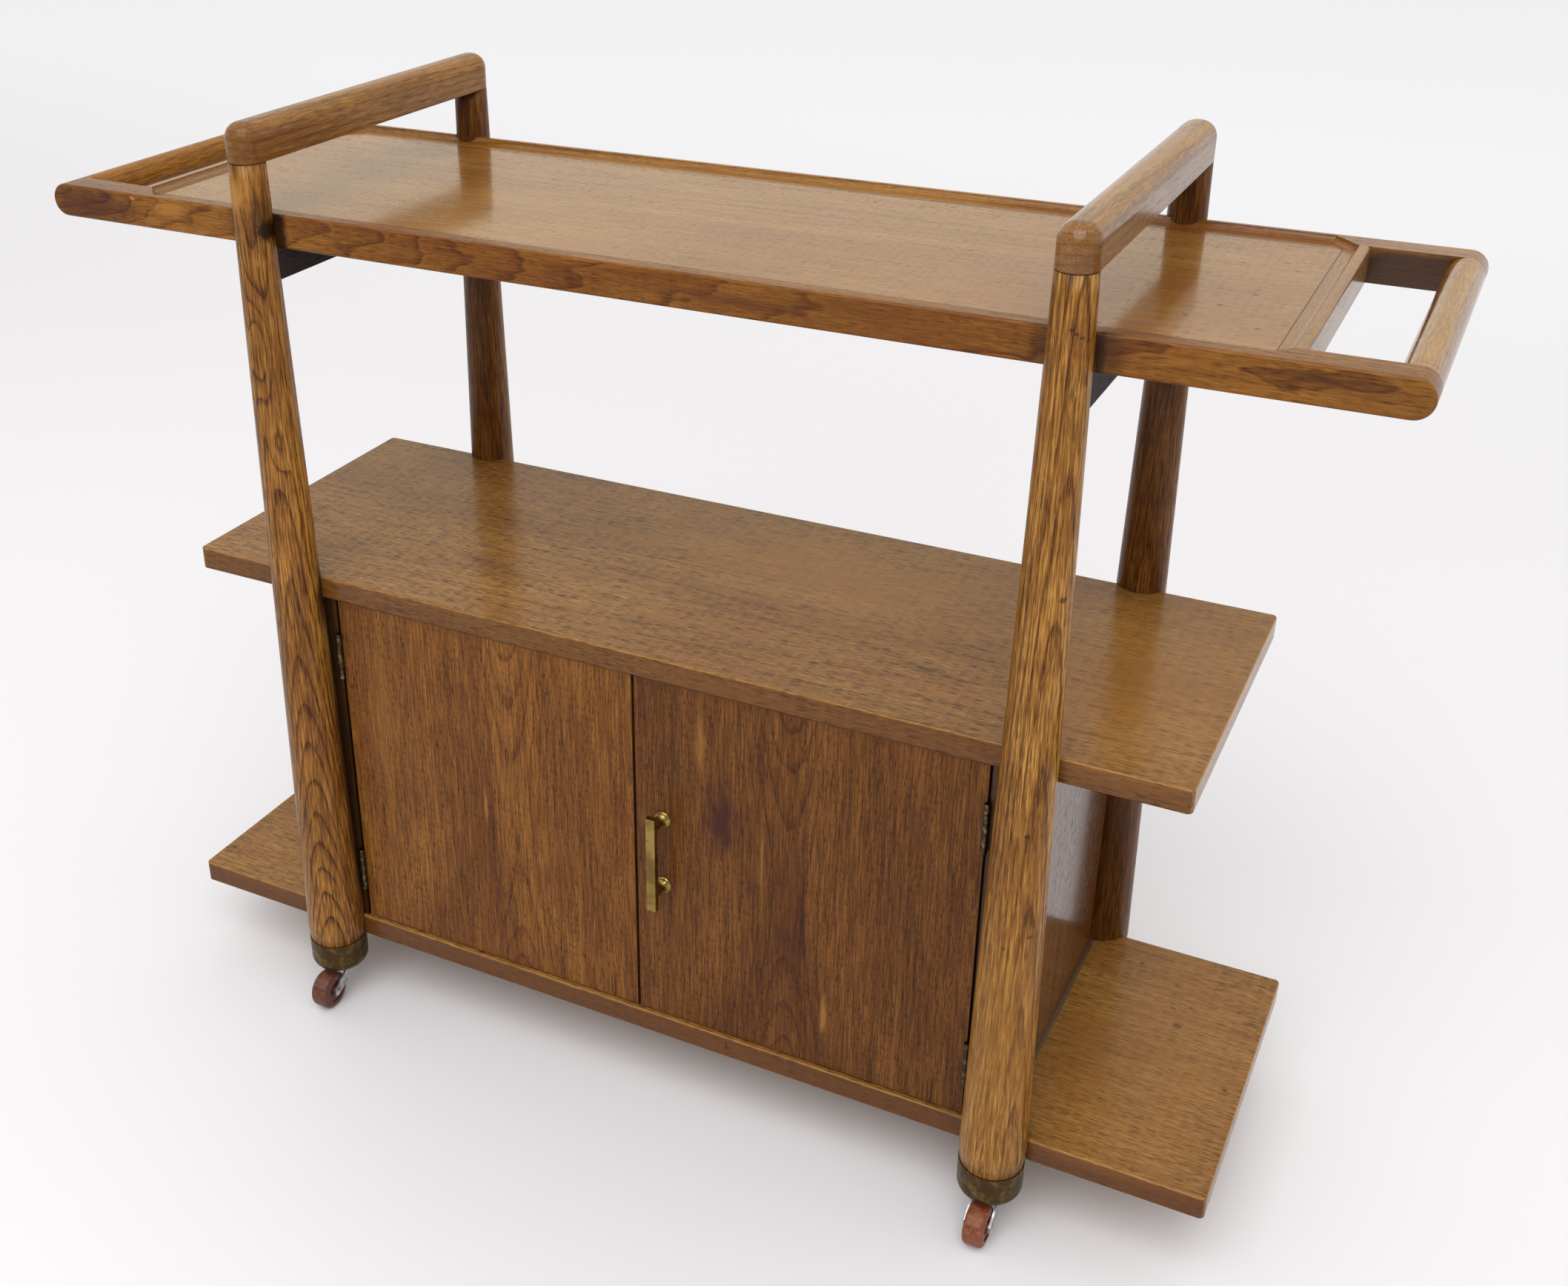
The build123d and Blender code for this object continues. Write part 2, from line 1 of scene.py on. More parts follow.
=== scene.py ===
"""The look of a wooden bar cart: its woods, brass, casters and small screws, and a pale studio.

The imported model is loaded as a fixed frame. Everything here is in metres in the frame's own
axes: X runs along the cart, Y from front to back, Z up, with the floor at zero.
"""

from __future__ import annotations

import logging
import math
from dataclasses import dataclass, field, replace
from enum import Enum
from typing import Union

import bmesh
import bpy
from mathutils import Matrix, Vector


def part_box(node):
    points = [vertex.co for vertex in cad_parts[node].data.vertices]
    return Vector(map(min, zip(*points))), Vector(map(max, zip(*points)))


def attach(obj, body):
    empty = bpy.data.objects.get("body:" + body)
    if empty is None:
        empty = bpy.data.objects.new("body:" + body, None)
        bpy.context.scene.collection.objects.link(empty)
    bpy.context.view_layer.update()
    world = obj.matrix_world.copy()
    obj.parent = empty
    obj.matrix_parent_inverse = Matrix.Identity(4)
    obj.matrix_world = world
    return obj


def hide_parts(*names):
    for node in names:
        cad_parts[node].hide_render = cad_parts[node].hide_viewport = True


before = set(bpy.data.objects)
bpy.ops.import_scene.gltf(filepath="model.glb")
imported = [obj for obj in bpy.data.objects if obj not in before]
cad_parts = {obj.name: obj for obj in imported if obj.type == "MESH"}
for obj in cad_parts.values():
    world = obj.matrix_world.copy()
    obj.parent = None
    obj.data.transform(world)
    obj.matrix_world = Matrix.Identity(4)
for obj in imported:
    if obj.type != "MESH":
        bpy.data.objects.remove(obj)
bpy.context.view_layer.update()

LOG = logging.getLogger("bar_cart")

Colour = tuple[float, float, float]
Point = tuple[float, float, float]
Socket = bpy.types.NodeSocket
Value = Union[float, Socket]
Parts = tuple[Value, Value, Value]
Stops = tuple[tuple[float, Colour], ...]

ORIGIN = (0.0, 0.0, 0.0)
CORNERS = ("front_left", "front_right", "rear_left", "rear_right")
SIDES = ("left", "right")

SCREEN_TOE = 0.04045
SCREEN_SLOPE = 12.92
SCREEN_OFFSET = 0.055
SCREEN_SCALE = 1.055
SCREEN_POWER = 2.4


def linear(level: int) -> float:
    """Turns one channel of a screen colour into the value that shaders take.

    Args:
        level: The channel, 0 to 255.

    Returns:
        Its linear value, 0 to 1.
    """
    share = level / 255
    if share <= SCREEN_TOE:
        return share / SCREEN_SLOPE
    return ((share + SCREEN_OFFSET) / SCREEN_SCALE) ** SCREEN_POWER


def paint(red: int, green: int, blue: int) -> Colour:
    """Returns a screen colour, 0 to 255 a channel, as the linear values that shaders take."""
    return linear(red), linear(green), linear(blue)


def node(name: str) -> bpy.types.Object:
    """Returns the CAD node's object of that name."""
    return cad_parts[name]


# Node trees


@dataclass(frozen=True)
class Cloud:
    """A kind of noise: its cells in a metre of each axis, its finer octaves and their strength."""

    cells: Point
    detail: float = 2.0
    rough: float = 0.5


def even(cells: float, detail: float, rough: float) -> Cloud:
    """Returns a noise with the same cells along each axis."""
    return Cloud((cells, cells, cells), detail, rough)


def stretched(along: float, across: float, detail: float, rough: float) -> Cloud:
    """Returns a noise with other cells along the grain than across it."""
    return Cloud((along, across, across), detail, rough)


def greys(profile: tuple[tuple[float, float], ...]) -> Stops:
    """Returns the stops of a ramp that has these grey levels at these places."""
    return tuple((place, (level, level, level)) for place, level in profile)


@dataclass(frozen=True)
class Patch:
    """A round or long patch of another colour, such as a knot, a scratch, old glue or painted shade.
    """

    at: Point
    half: Point
    colour: Colour
    strength: float = 0.6
    soft: float = 0.6
    ragged: float = 0.0


class Nodes:
    """A node tree, with a short call for each step of a pattern."""

    def __init__(self, tree: bpy.types.NodeTree) -> None:
        """Takes the tree that the steps go into."""
        self.tree = tree

    def feed(self, socket: Socket, value: object) -> None:
        """Links a socket to another one, or sets its own value.

        Args:
            socket: The socket of one of the tree's nodes.
            value: The socket to link, or the value to set.
        """
        if isinstance(value, Socket):
            self.tree.links.new(value, socket)
        else:
            socket.default_value = value

    def math(self, operation: str, first: Value, second: Value = 0.0) -> Socket:
        """Works out one sum of one or two values.

        Args:
            operation: The Math node's operation.
            first: A number or a socket.
            second: A number or a socket.

        Returns:
            The result.
        """
        step = self.tree.nodes.new("ShaderNodeMath")
        step.operation = operation
        self.feed(step.inputs[0], first)
        self.feed(step.inputs[1], second)
        return step.outputs[0]

    def add(self, *terms: Value) -> Socket:
        """Adds up two or more values.

        Args:
            terms: Numbers or sockets.

        Returns:
            Their sum.
        """
        total = terms[0]
        for term in terms[1:]:
            total = self.math("ADD", total, term)
        return total

    def scaled(self, value: Value, factor: Value) -> Socket:
        """Returns a value times a factor."""
        return self.math("MULTIPLY", value, factor)

    def swing(self, noise: Socket, reach: float) -> Socket:
        """Returns a noise of 0 to 1 as a swing of that reach to both sides of zero."""
        return self.scaled(self.add(noise, -0.5), 2 * reach)

    def squares(self, *terms: Value) -> Socket:
        """Returns the sum of the squares of two or more values."""
        return self.add(*[self.math("POWER", term, 2.0) for term in terms])

    def distance(self, *terms: Value) -> Socket:
        """Returns the length of a line from its extents along two or more axes."""
        return self.math("SQRT", self.squares(*terms))

    def fade(
        self, value: Value, start: float, end: float, first: float = 0.0, last: float = 1.0
    ) -> Socket:
        """Goes smoothly from one result to another, and stays level outside the two.

        Args:
            value: A number or a socket.
            start: The value that gives the first result.
            end: The value that gives the last result, which may be below start.
            first: The first result.
            last: The last result.

        Returns:
            The result at that value.
        """
        step = self.tree.nodes.new("ShaderNodeMapRange")
        step.interpolation_type = "SMOOTHSTEP"
        self.feed(step.inputs["Value"], value)
        for limit, (place, result) in zip(("Min", "Max"), sorted(((start, first), (end, last)))):
            step.inputs[f"From {limit}"].default_value = place
            step.inputs[f"To {limit}"].default_value = result
        return step.outputs["Result"]

    def mix(self, factor: Value, below: Colour | Socket, above: Colour | Socket) -> Socket:
        """Blends two colours.

        Args:
            factor: 0 gives the colour below, 1 the colour above.
            below: A colour or a socket.
            above: A colour or a socket.

        Returns:
            The blended colour.
        """
        step = self.tree.nodes.new("ShaderNodeMix")
        step.data_type = "RGBA"
        self.feed(step.inputs["Factor"], factor)
        sockets = [socket for socket in step.inputs if socket.type == "RGBA"]
        for socket, value in zip(sockets, (below, above)):
            self.feed(socket, value if isinstance(value, Socket) else (*value, 1.0))
        return next(socket for socket in step.outputs if socket.type == "RGBA")


class Recipe(Nodes):
    """One material's node tree."""

    dash_edge = (0.05, -0.07)
    ragged_cells = 3.0

    def __init__(self, name: str) -> None:
        """Starts a material with a Principled shader.

        Args:
            name: The material's name.
        """
        self.material = bpy.data.materials.new(name)
        self.material.use_nodes = True
        super().__init__(self.material.node_tree)
        self.tree.nodes.clear()
        self.shader = self.tree.nodes.new("ShaderNodeBsdfPrincipled")
        output = self.tree.nodes.new("ShaderNodeOutputMaterial")
        self.feed(output.inputs["Surface"], self.shader.outputs["BSDF"])

    def give(self, label: str, value: object) -> None:
        """Feeds the shader's input of that name."""
        self.feed(self.shader.inputs[label], value)

    def place(self, centre: Point, turn: Point = ORIGIN) -> Parts:
        """Measures the object coordinates from a centre.

        Args:
            centre: The point that becomes the origin.
            turn: The angles about X, Y and Z that the axes are turned by.

        Returns:
            X, Y and Z.
        """
        source = self.tree.nodes.new("ShaderNodeTexCoord")
        mapping = self.tree.nodes.new("ShaderNodeMapping")
        mapping.vector_type = "TEXTURE"
        mapping.inputs["Location"].default_value = centre
        mapping.inputs["Rotation"].default_value = turn
        self.feed(mapping.inputs["Vector"], source.outputs["Object"])
        split = self.tree.nodes.new("ShaderNodeSeparateXYZ")
        self.feed(split.inputs[0], mapping.outputs["Vector"])
        return split.outputs["X"], split.outputs["Y"], split.outputs["Z"]

    def joined(self, parts: Parts, scales: Point) -> Socket:
        """Scales three coordinates and joins them.

        Args:
            parts: The coordinates.
            scales: A factor for each.

        Returns:
            The vector.
        """
        join = self.tree.nodes.new("ShaderNodeCombineXYZ")
        for socket, part, scale in zip(join.inputs, parts, scales):
            self.feed(socket, self.scaled(part, scale))
        return join.outputs[0]

    def noise(self, parts: Parts, cloud: Cloud) -> Socket:
        """Makes a noise.

        Args:
            parts: The three coordinates.
            cloud: The kind of noise.

        Returns:
            The noise, 0 to 1.
        """
        texture = self.tree.nodes.new("ShaderNodeTexNoise")
        texture.inputs["Scale"].default_value = 1.0
        texture.inputs["Detail"].default_value = cloud.detail
        texture.inputs["Roughness"].default_value = cloud.rough
        self.feed(texture.inputs["Vector"], self.joined(parts, cloud.cells))
        return texture.outputs["Fac"]

    def dashes(self, parts: Parts, cell: Point, size: float, crowd: Value = 0.0) -> Socket:
        """Scatters separate long specks.

        Args:
            parts: The three coordinates.
            cell: The room that each speck has along each coordinate, in metres.
            size: The largest speck's half width as a share of its cell.
            crowd: What is added to that share.

        Returns:
            1 inside the specks and 0 between them.
        """
        texture = self.tree.nodes.new("ShaderNodeTexVoronoi")
        texture.inputs["Scale"].default_value = 1.0
        scales = tuple(1.0 / length for length in cell)
        self.feed(texture.inputs["Vector"], self.joined(parts, scales))
        split = self.tree.nodes.new("ShaderNodeSeparateXYZ")
        self.feed(split.inputs[0], texture.outputs["Color"])
        reach = self.add(self.scaled(split.outputs[0], size), crowd)
        return self.fade(self.math("SUBTRACT", texture.outputs["Distance"], reach), *self.dash_edge)

    def ramp(self, value: Socket, stops: Stops) -> Socket:
        """Looks up a colour along a ramp.

        Args:
            value: The place on the ramp, 0 to 1.
            stops: Place and colour of each stop, in order.

        Returns:
            The colour there.
        """
        step = self.tree.nodes.new("ShaderNodeValToRGB")
        elements = step.color_ramp.elements
        while len(elements) < len(stops):
            elements.new(1.0)
        for element, (place, colour) in zip(elements, stops):
            element.position = place
            element.color = (*colour, 1.0)
        self.feed(step.inputs["Fac"], value)
        return step.outputs["Color"]

    def bump(self, height: Socket, depth: float) -> None:
        """Gives the shader a bump.

        Args:
            height: 0 for the bottom of the relief and 1 for its top.
            depth: How deep the relief is, in metres.
        """
        step = self.tree.nodes.new("ShaderNodeBump")
        step.inputs["Strength"].default_value = 1.0
        step.inputs["Distance"].default_value = depth
        self.feed(step.inputs["Height"], height)
        self.give("Normal", step.outputs["Normal"])

    def cover(self, parts: Parts, patch: Patch) -> Socket:
        """Works out where a patch lies.

        Args:
            parts: X, Y and Z from the frame's origin.
            patch: The patch.

        Returns:
            How strongly it covers each point, 0 to 1.
        """
        offsets = [
            self.scaled(self.add(part, -at), 1.0 / half)
            for part, at, half in zip(parts, patch.at, patch.half)
        ]
        reach = self.distance(*offsets)
        if patch.ragged:
            cells = tuple(self.ragged_cells / min(half, 1.0) for half in patch.half)
            reach = self.add(reach, self.swing(self.noise(parts, Cloud(cells)), patch.ragged))
        return self.scaled(self.fade(reach, 1.0, 1.0 - patch.soft), patch.strength)


# Finishes


class GrainAxis(Enum):
    """Which way a piece's grain runs, with the axes across it and out of its show face."""

    ALONG_X = (0, 1, 2)
    ALONG_X_ON_EDGE = (0, 2, 1)
    ALONG_Y = (1, 0, 2)
    ALONG_Z = (2, 0, 1)
    ALONG_Z_SIDE = (2, 1, 0)


@dataclass(frozen=True)
class Bulge:
    """A place where the growth rings rise, which shows as closed ovals in the figure."""

    along: float
    across: float
    half_length: float
    half_width: float
    rise: float


@dataclass(frozen=True)
class Figure:
    """How a board or a turning lay in its log, in coordinates from the piece's centre."""

    grain: GrainAxis
    pith_across: float = 0.0
    pith_depth: float = 0.06
    slope: float = 0.0
    bow: float = 0.0
    ring_width: float = 0.006
    waver: float = 0.004
    waver_length: float = 0.2
    turn: float = 0.0
    bulges: tuple[Bulge, ...] = ()


RING_PROFILE = ((0.0, 0.12), (0.25, 0.0), (0.7, 0.2), (0.92, 1.0), (1.0, 0.12))
RING_LEVEL = 0.3
RING_LINE_PROFILE = ((0.0, 1.0), (0.1, 0.0), (0.93, 0.0), (1.0, 1.0))
RING_LINE_GAPS = (0.36, 0.56)
FLAT_SAWN = (0.5, 0.97)
QUARTER_SAWN_SHARE = 0.15
TONES = (0.05, 0.5, 0.95)
STREAKS = stretched(6.0, 170.0, 3.0, 0.55)
MOTTLE = stretched(3.5, 16.0, 3.0, 0.5)
WARMTH = stretched(4.0, 24.0, 2.0, 0.5)
WARM_FROM_TO = (0.42, 0.66)
SMEARS = stretched(9.0, 30.0, 4.0, 0.6)
CROWDS = stretched(10.0, 90.0, 2.0, 0.5)
CROWD_SWING = 0.25
SHORT_PORE_CELL = (0.55, 0.7)
SHORT_PORE_SIZE = 0.9
SHORT_PORE_STRENGTH = 0.6
SHORT_PORE_SHIFT = (0.37, 0.0113)
PORE_ROUGHNESS = 0.15
PORE_RELIEF = 0.8
FIBRE_RELIEF = 0.3
EDGE_CLOUD = even(40.0, 3.0, 0.6)
EDGE_WANDER = 0.0008
EDGE_DEPTHS = (0.0016, 0.0004)


@dataclass(frozen=True)
class WoodFinish:
    """A stained and lacquered wood: its colours, pores, sheen and wear, with painted highlights on
    its edges.
    """

    light: Colour
    middle: Colour
    dark: Colour
    pore: Colour
    blush: Colour
    blush_cover: float = 0.4
    ring_contrast: float = 0.3
    ring_pores: float = 0.1
    ring_line: float = 0.0
    mottle: float = 0.5
    streak: float = 0.35
    fibre: float = 0.8
    fibre_cells: tuple[float, float] = (55.0, 850.0)
    pore_cell: tuple[float, float] = (0.016, 0.0014)
    pore_size: float = 0.42
    pore_strength: float = 0.6
    rough: float = 0.32
    rough_spread: float = 0.08
    gloss: float = 0.22
    pore_depth: float = 0.00005
    # The edge colour paints wear and a highlight along the arrises.
    edge: Colour | None = None
    edge_strength: float = 0.5

    def material(
        self,
        name: str,
        figure: Figure,
        box: tuple[Vector, Vector],
        patches: tuple[Patch, ...] = (),
    ) -> bpy.types.Material:
        """Makes the material of one piece.

        Args:
            name: The material's name.
            figure: How the piece lay in its log.
            box: The piece's lowest and highest corners.
            patches: Knots, marks and stains on it, and painted shade.

        Returns:
            The material.
        """
        recipe = Recipe(name)
        low, high = box
        centre = tuple((low + high) / 2)
        turn = [0.0, 0.0, 0.0]
        turn[figure.grain.value[0]] = figure.turn
        laid = recipe.place(centre, turn)
        turned = tuple(laid[axis] for axis in figure.grain.value)
        rings, facing = self._rings(recipe, figure, turned)
        phase = recipe.math("FRACT", rings)
        late = recipe.ramp(phase, greys(RING_PROFILE))
        mottle = recipe.noise(turned, MOTTLE)
        fibre = recipe.noise(turned, stretched(*self.fibre_cells, 2.0, 0.6))
        tone = recipe.add(
            0.5,
            self._ring_tone(recipe, late, facing),
            recipe.swing(mottle, self.mottle),
            recipe.swing(recipe.noise(turned, STREAKS), self.streak),
            recipe.swing(fibre, self.fibre),
        )
        colour = recipe.ramp(tone, tuple(zip(TONES, (self.light, self.middle, self.dark))))
        if self.ring_line:
            lines = recipe.ramp(phase, greys(RING_LINE_PROFILE))
            clear = recipe.scaled(recipe.fade(mottle, *RING_LINE_GAPS), self.ring_line)
            colour = recipe.mix(recipe.scaled(lines, clear), colour, self.light)
        warm = recipe.fade(recipe.noise(turned, WARMTH), *WARM_FROM_TO)
        colour = recipe.mix(recipe.scaled(warm, self.blush_cover), colour, self.blush)
        pores = self._pores(recipe, turned, late)
        colour = recipe.mix(recipe.scaled(pores, self.pore_strength), colour, self.pore)
        # Lighter edges: wear, and a painted highlight along each arris.
        if self.edge is not None:
            worn = self._worn_and_highlit_edge(recipe, recipe.place(centre), (high - low) / 2)
            colour = recipe.mix(worn, colour, self.edge)
        if patches:
            from_origin = recipe.place(ORIGIN)
            for patch in patches:
                colour = recipe.mix(recipe.cover(from_origin, patch), colour, patch.colour)
        recipe.give("Base Color", colour)
        smears = recipe.swing(recipe.noise(turned, SMEARS), self.rough_spread)
        rough = recipe.add(self.rough, smears, recipe.scaled(pores, PORE_ROUGHNESS))
        recipe.give("Roughness", rough)
        recipe.give("Specular IOR Level", self.gloss)
        sunk = recipe.scaled(pores, -PORE_RELIEF)
        recipe.bump(recipe.add(1.0, sunk, recipe.scaled(fibre, -FIBRE_RELIEF)), self.pore_depth)
        return recipe.material

    def _rings(self, recipe: Recipe, figure: Figure, turned: Parts) -> tuple[Socket, Socket]:
        """Works out the growth rings.

        Args:
            recipe: The material's recipe.
            figure: How the piece lay in its log.
            turned: Coordinates along and across the grain and out of the show face.

        Returns:
            How many rings lie between the pith and each point, and how squarely they face the
            show face there, from -1 to 1.
        """
        along, across, depth = turned
        pith_line = recipe.add(
            figure.pith_depth,
            recipe.scaled(along, figure.slope),
            recipe.scaled(recipe.math("POWER", along, 2.0), figure.bow),
        )
        away = recipe.add(depth, pith_line)
        beside = recipe.add(across, -figure.pith_across)
        radius = recipe.distance(away, beside)
        facing = recipe.math("DIVIDE", away, radius)
        cells = 1.0 / figure.waver_length
        waver = recipe.noise(turned, stretched(cells, 3 * cells, 3.0, 0.55))
        radius = recipe.add(radius, recipe.swing(waver, figure.waver))
        for bulge in figure.bulges:
            reach = recipe.squares(
                recipe.scaled(recipe.add(along, -bulge.along), 1 / bulge.half_length),
                recipe.scaled(recipe.add(across, -bulge.across), 1 / bulge.half_width),
            )
            swell = recipe.math("POWER", math.e, recipe.scaled(reach, -1.0))
            radius = recipe.add(radius, recipe.scaled(swell, bulge.rise))
        return recipe.scaled(radius, 1.0 / figure.ring_width), facing

    def _ring_tone(self, recipe: Recipe, late: Socket, facing: Socket) -> Socket:
        """Works out how much the growth rings darken the wood.

        Args:
            recipe: The material's recipe.
            late: 1 along the dark line of each ring and 0 between the lines.
            facing: How squarely the rings face the show face, from -1 to 1.

        Returns:
            The change of tone, which is least where the rings stand on edge.
        """
        flat_sawn = recipe.fade(recipe.math("ABSOLUTE", facing), *FLAT_SAWN)
        share = recipe.add(QUARTER_SAWN_SHARE, recipe.scaled(flat_sawn, 1.0 - QUARTER_SAWN_SHARE))
        ringing = recipe.scaled(share, self.ring_contrast)
        return recipe.scaled(recipe.add(late, -RING_LEVEL), ringing)

    def _pores(self, recipe: Recipe, turned: Parts, late: Socket) -> Socket:
        """Opens the pores, long ones and short ones.

        Args:
            recipe: The material's recipe.
            turned: Coordinates along and across the grain and out of the show face.
            late: 1 along the dark line of each growth ring and 0 between the lines.

        Returns:
            1 in the pores and 0 between them.
        """
        length, width = self.pore_cell
        crowding = recipe.add(
            recipe.swing(recipe.noise(turned, CROWDS), CROWD_SWING),
            recipe.scaled(recipe.add(late, -RING_LEVEL), self.ring_pores),
        )
        long_ones = recipe.dashes(turned, (length, width, width), self.pore_size, crowding)
        along, across, depth = turned
        shift_along, shift_across = SHORT_PORE_SHIFT
        shifted = (recipe.add(along, shift_along), recipe.add(across, shift_across), depth)
        shorter, narrower = SHORT_PORE_CELL
        cell = (shorter * length, narrower * width, narrower * width)
        short_ones = recipe.dashes(shifted, cell, SHORT_PORE_SIZE * self.pore_size, crowding)
        return recipe.math("MAXIMUM", long_ones, recipe.scaled(short_ones, SHORT_PORE_STRENGTH))

    def _worn_and_highlit_edge(self, recipe: Recipe, parts: Parts, half: Vector) -> Socket:
        """Wears the piece's straight edges.

        Args:
            recipe: The material's recipe.
            parts: Coordinates from the piece's centre.
            half: Half the piece's size along each axis.

        Returns:
            How strongly each point is lightened, 0 to 1.
        """
        depths = [
            recipe.math("SUBTRACT", size, recipe.math("ABSOLUTE", part))
            for part, size in zip(parts, half)
        ]
        lesser = recipe.math("MINIMUM", depths[0], depths[1])
        greater = recipe.math("MAXIMUM", depths[0], depths[1])
        second = recipe.math("MAXIMUM", lesser, recipe.math("MINIMUM", greater, depths[2]))
        wander = recipe.swing(recipe.noise(parts, EDGE_CLOUD), EDGE_WANDER)
        worn = recipe.fade(recipe.add(second, wander), *EDGE_DEPTHS)
        return recipe.scaled(worn, self.edge_strength)


NO_TARNISH = 0.7
TARNISH_SPAN = 0.4
NO_SPECKS = 0.74
SPECK_SPAN = 0.2


@dataclass(frozen=True)
class MetalFinish:
    """A bare or aged metal, with its tarnish, specks and rub."""

    clean: Colour
    tarnish: Colour
    speck: Colour
    tarnish_cover: float = 0.5
    tarnish_soft: float = 0.14
    speck_cover: float = 0.2
    speck_soft: tuple[float, float] = (0.03, 0.05)
    speck_rough: float = 0.2
    rough: float = 0.35
    rough_spread: float = 0.15
    metallic: float = 1.0
    cell: float = 0.012
    fine_cells: float = 9.0
    fine_relief: float = 0.3
    relief: float = 0.00004

    def material(self, name: str, centre: Point = ORIGIN) -> bpy.types.Material:
        """Makes the material.

        Args:
            name: The material's name.
            centre: The point that the pattern is measured from.

        Returns:
            The material.
        """
        recipe = Recipe(name)
        parts = recipe.place(centre)
        cells = 1.0 / self.cell
        cloud = recipe.noise(parts, even(cells, 5.0, 0.62))
        fine = recipe.noise(parts, even(self.fine_cells * cells, 3.0, 0.6))
        edge = NO_TARNISH - TARNISH_SPAN * self.tarnish_cover
        aged = recipe.fade(cloud, edge - self.tarnish_soft, edge + self.tarnish_soft)
        colour = recipe.mix(aged, self.clean, self.tarnish)
        speck_edge = NO_SPECKS - SPECK_SPAN * self.speck_cover
        inner, outer = self.speck_soft
        specks = recipe.fade(fine, speck_edge - inner, speck_edge + outer)
        recipe.give("Base Color", recipe.mix(specks, colour, self.speck))
        smears = recipe.swing(cloud, self.rough_spread)
        rough = recipe.add(self.rough, smears, recipe.scaled(specks, self.speck_rough))
        recipe.give("Roughness", rough)
        recipe.give("Metallic", self.metallic)
        pitted = recipe.scaled(specks, -1.0)
        height = recipe.add(1.0, pitted, recipe.scaled(fine, -self.fine_relief))
        recipe.bump(height, self.relief)
        return recipe.material


@dataclass(frozen=True)
class WheelFinish:
    """A pressed composition wheel: streaked, scuffed on the tread and soiled at the hub."""

    light: Colour
    dark: Colour
    scuff: Colour
    rough: float = 0.45
    rough_spread: float = 0.15
    scuff_rough: float = 0.2
    streaks: Cloud = Cloud((90.0, 300.0, 160.0), 5.0, 0.65)
    streak_stops: tuple[float, float] = (0.3, 0.7)
    scuffs: Cloud = even(220.0, 3.0, 0.6)
    scuffs_from_to: tuple[float, float] = (0.4, 0.62)
    tread: tuple[float, float] = (0.86, 0.99)
    hub: tuple[float, float] = (0.62, 0.42)
    strength: float = 0.55
    relief: float = 0.00008

    def material(self, name: str, centre: Point, radius: float) -> bpy.types.Material:
        """Makes the material of one wheel.

        Args:
            name: The material's name.
            centre: The wheel's centre.
            radius: The wheel's radius.

        Returns:
            The material.
        """
        recipe = Recipe(name)
        parts = recipe.place(centre)
        streaks = recipe.noise(parts, self.streaks)
        colour = recipe.ramp(streaks, tuple(zip(self.streak_stops, (self.dark, self.light))))
        reach = recipe.distance(*parts[1:])
        tread = recipe.fade(reach, *(share * radius for share in self.tread))
        patches = recipe.fade(recipe.noise(parts, self.scuffs), *self.scuffs_from_to)
        worn = recipe.scaled(tread, patches)
        colour = recipe.mix(recipe.scaled(worn, self.strength), colour, self.scuff)
        hub = recipe.fade(reach, *(share * radius for share in self.hub))
        colour = recipe.mix(recipe.scaled(hub, self.strength), colour, self.dark)
        recipe.give("Base Color", colour)
        smears = recipe.swing(streaks, self.rough_spread)
        rough = recipe.add(self.rough, smears, recipe.scaled(worn, self.scuff_rough))
        recipe.give("Roughness", rough)
        recipe.bump(streaks, self.relief)
        return recipe.material


# The cart's own finishes

LEG_WOOD = WoodFinish(
    light=paint(180, 126, 57),
    middle=paint(132, 86, 32),
    dark=paint(70, 38, 10),
    pore=paint(42, 20, 6),
    blush=paint(112, 64, 20),
    blush_cover=0.3,
    ring_contrast=0.37,
    ring_pores=0.4,
    fibre=1.0,
    fibre_cells=(30.0, 620.0),
    pore_cell=(0.020, 0.0012),
    pore_size=0.48,
    pore_strength=0.62,
    gloss=0.18,
)
GOLDEN_LEG_WOOD = replace(
    LEG_WOOD,
    light=paint(184, 136, 64),
    middle=paint(136, 90, 34),
    dark=paint(88, 51, 15),
    blush=paint(130, 78, 26),
    fibre=1.15,
    pore_strength=0.65,
)
# A darker copy of the leg wood: painted shade for the rear legs, which stand in the tray's shade.
SHADED_REAR_LEG_WOOD = replace(
    LEG_WOOD,
    ring_contrast=0.16,
    ring_pores=0.15,
    light=paint(138, 90, 38),
    middle=paint(100, 61, 20),
    dark=paint(62, 33, 9),
    pore=paint(32, 15, 4),
    blush=paint(92, 48, 15),
)
BAR_WOOD = WoodFinish(
    light=paint(160, 113, 54),
    middle=paint(125, 83, 32),
    dark=paint(84, 50, 15),
    pore=paint(56, 31, 10),
    blush=paint(120, 72, 26),
    pore_cell=(0.018, 0.0008),
    pore_size=0.46,
    pore_strength=0.4,
    rough=0.17,
    gloss=0.45,
    pore_depth=0.00002,
)
SATIN_BAR_WOOD = replace(BAR_WOOD, rough=0.24, gloss=0.25)
GLOSSY_BAR_WOOD = replace(
    BAR_WOOD,
    light=paint(164, 120, 60),
    middle=paint(131, 90, 40),
    dark=paint(96, 60, 22),
    pore_strength=0.3,
    rough=0.09,
    rough_spread=0.04,
    gloss=0.5,
    pore_depth=0.00001,
)
GOLDEN_BAR_WOOD = replace(
    BAR_WOOD,
    light=paint(158, 106, 42),
    middle=paint(128, 82, 24),
    dark=paint(92, 53, 12),
    pore_strength=0.4,
    rough=0.3,
    gloss=0.12,
)
RAIL_WOOD = WoodFinish(
    light=paint(158, 105, 42),
    middle=paint(120, 74, 22),
    dark=paint(70, 35, 9),
    pore=paint(48, 22, 6),
    blush=paint(104, 50, 15),
    blush_cover=0.35,
    ring_contrast=0.34,
    ring_line=0.3,
    mottle=0.4,
    streak=0.25,
    fibre=0.5,
    pore_cell=(0.012, 0.0008),
    rough=0.24,
    gloss=0.16,
    edge=paint(150, 100, 50),
    edge_strength=0.3,
)
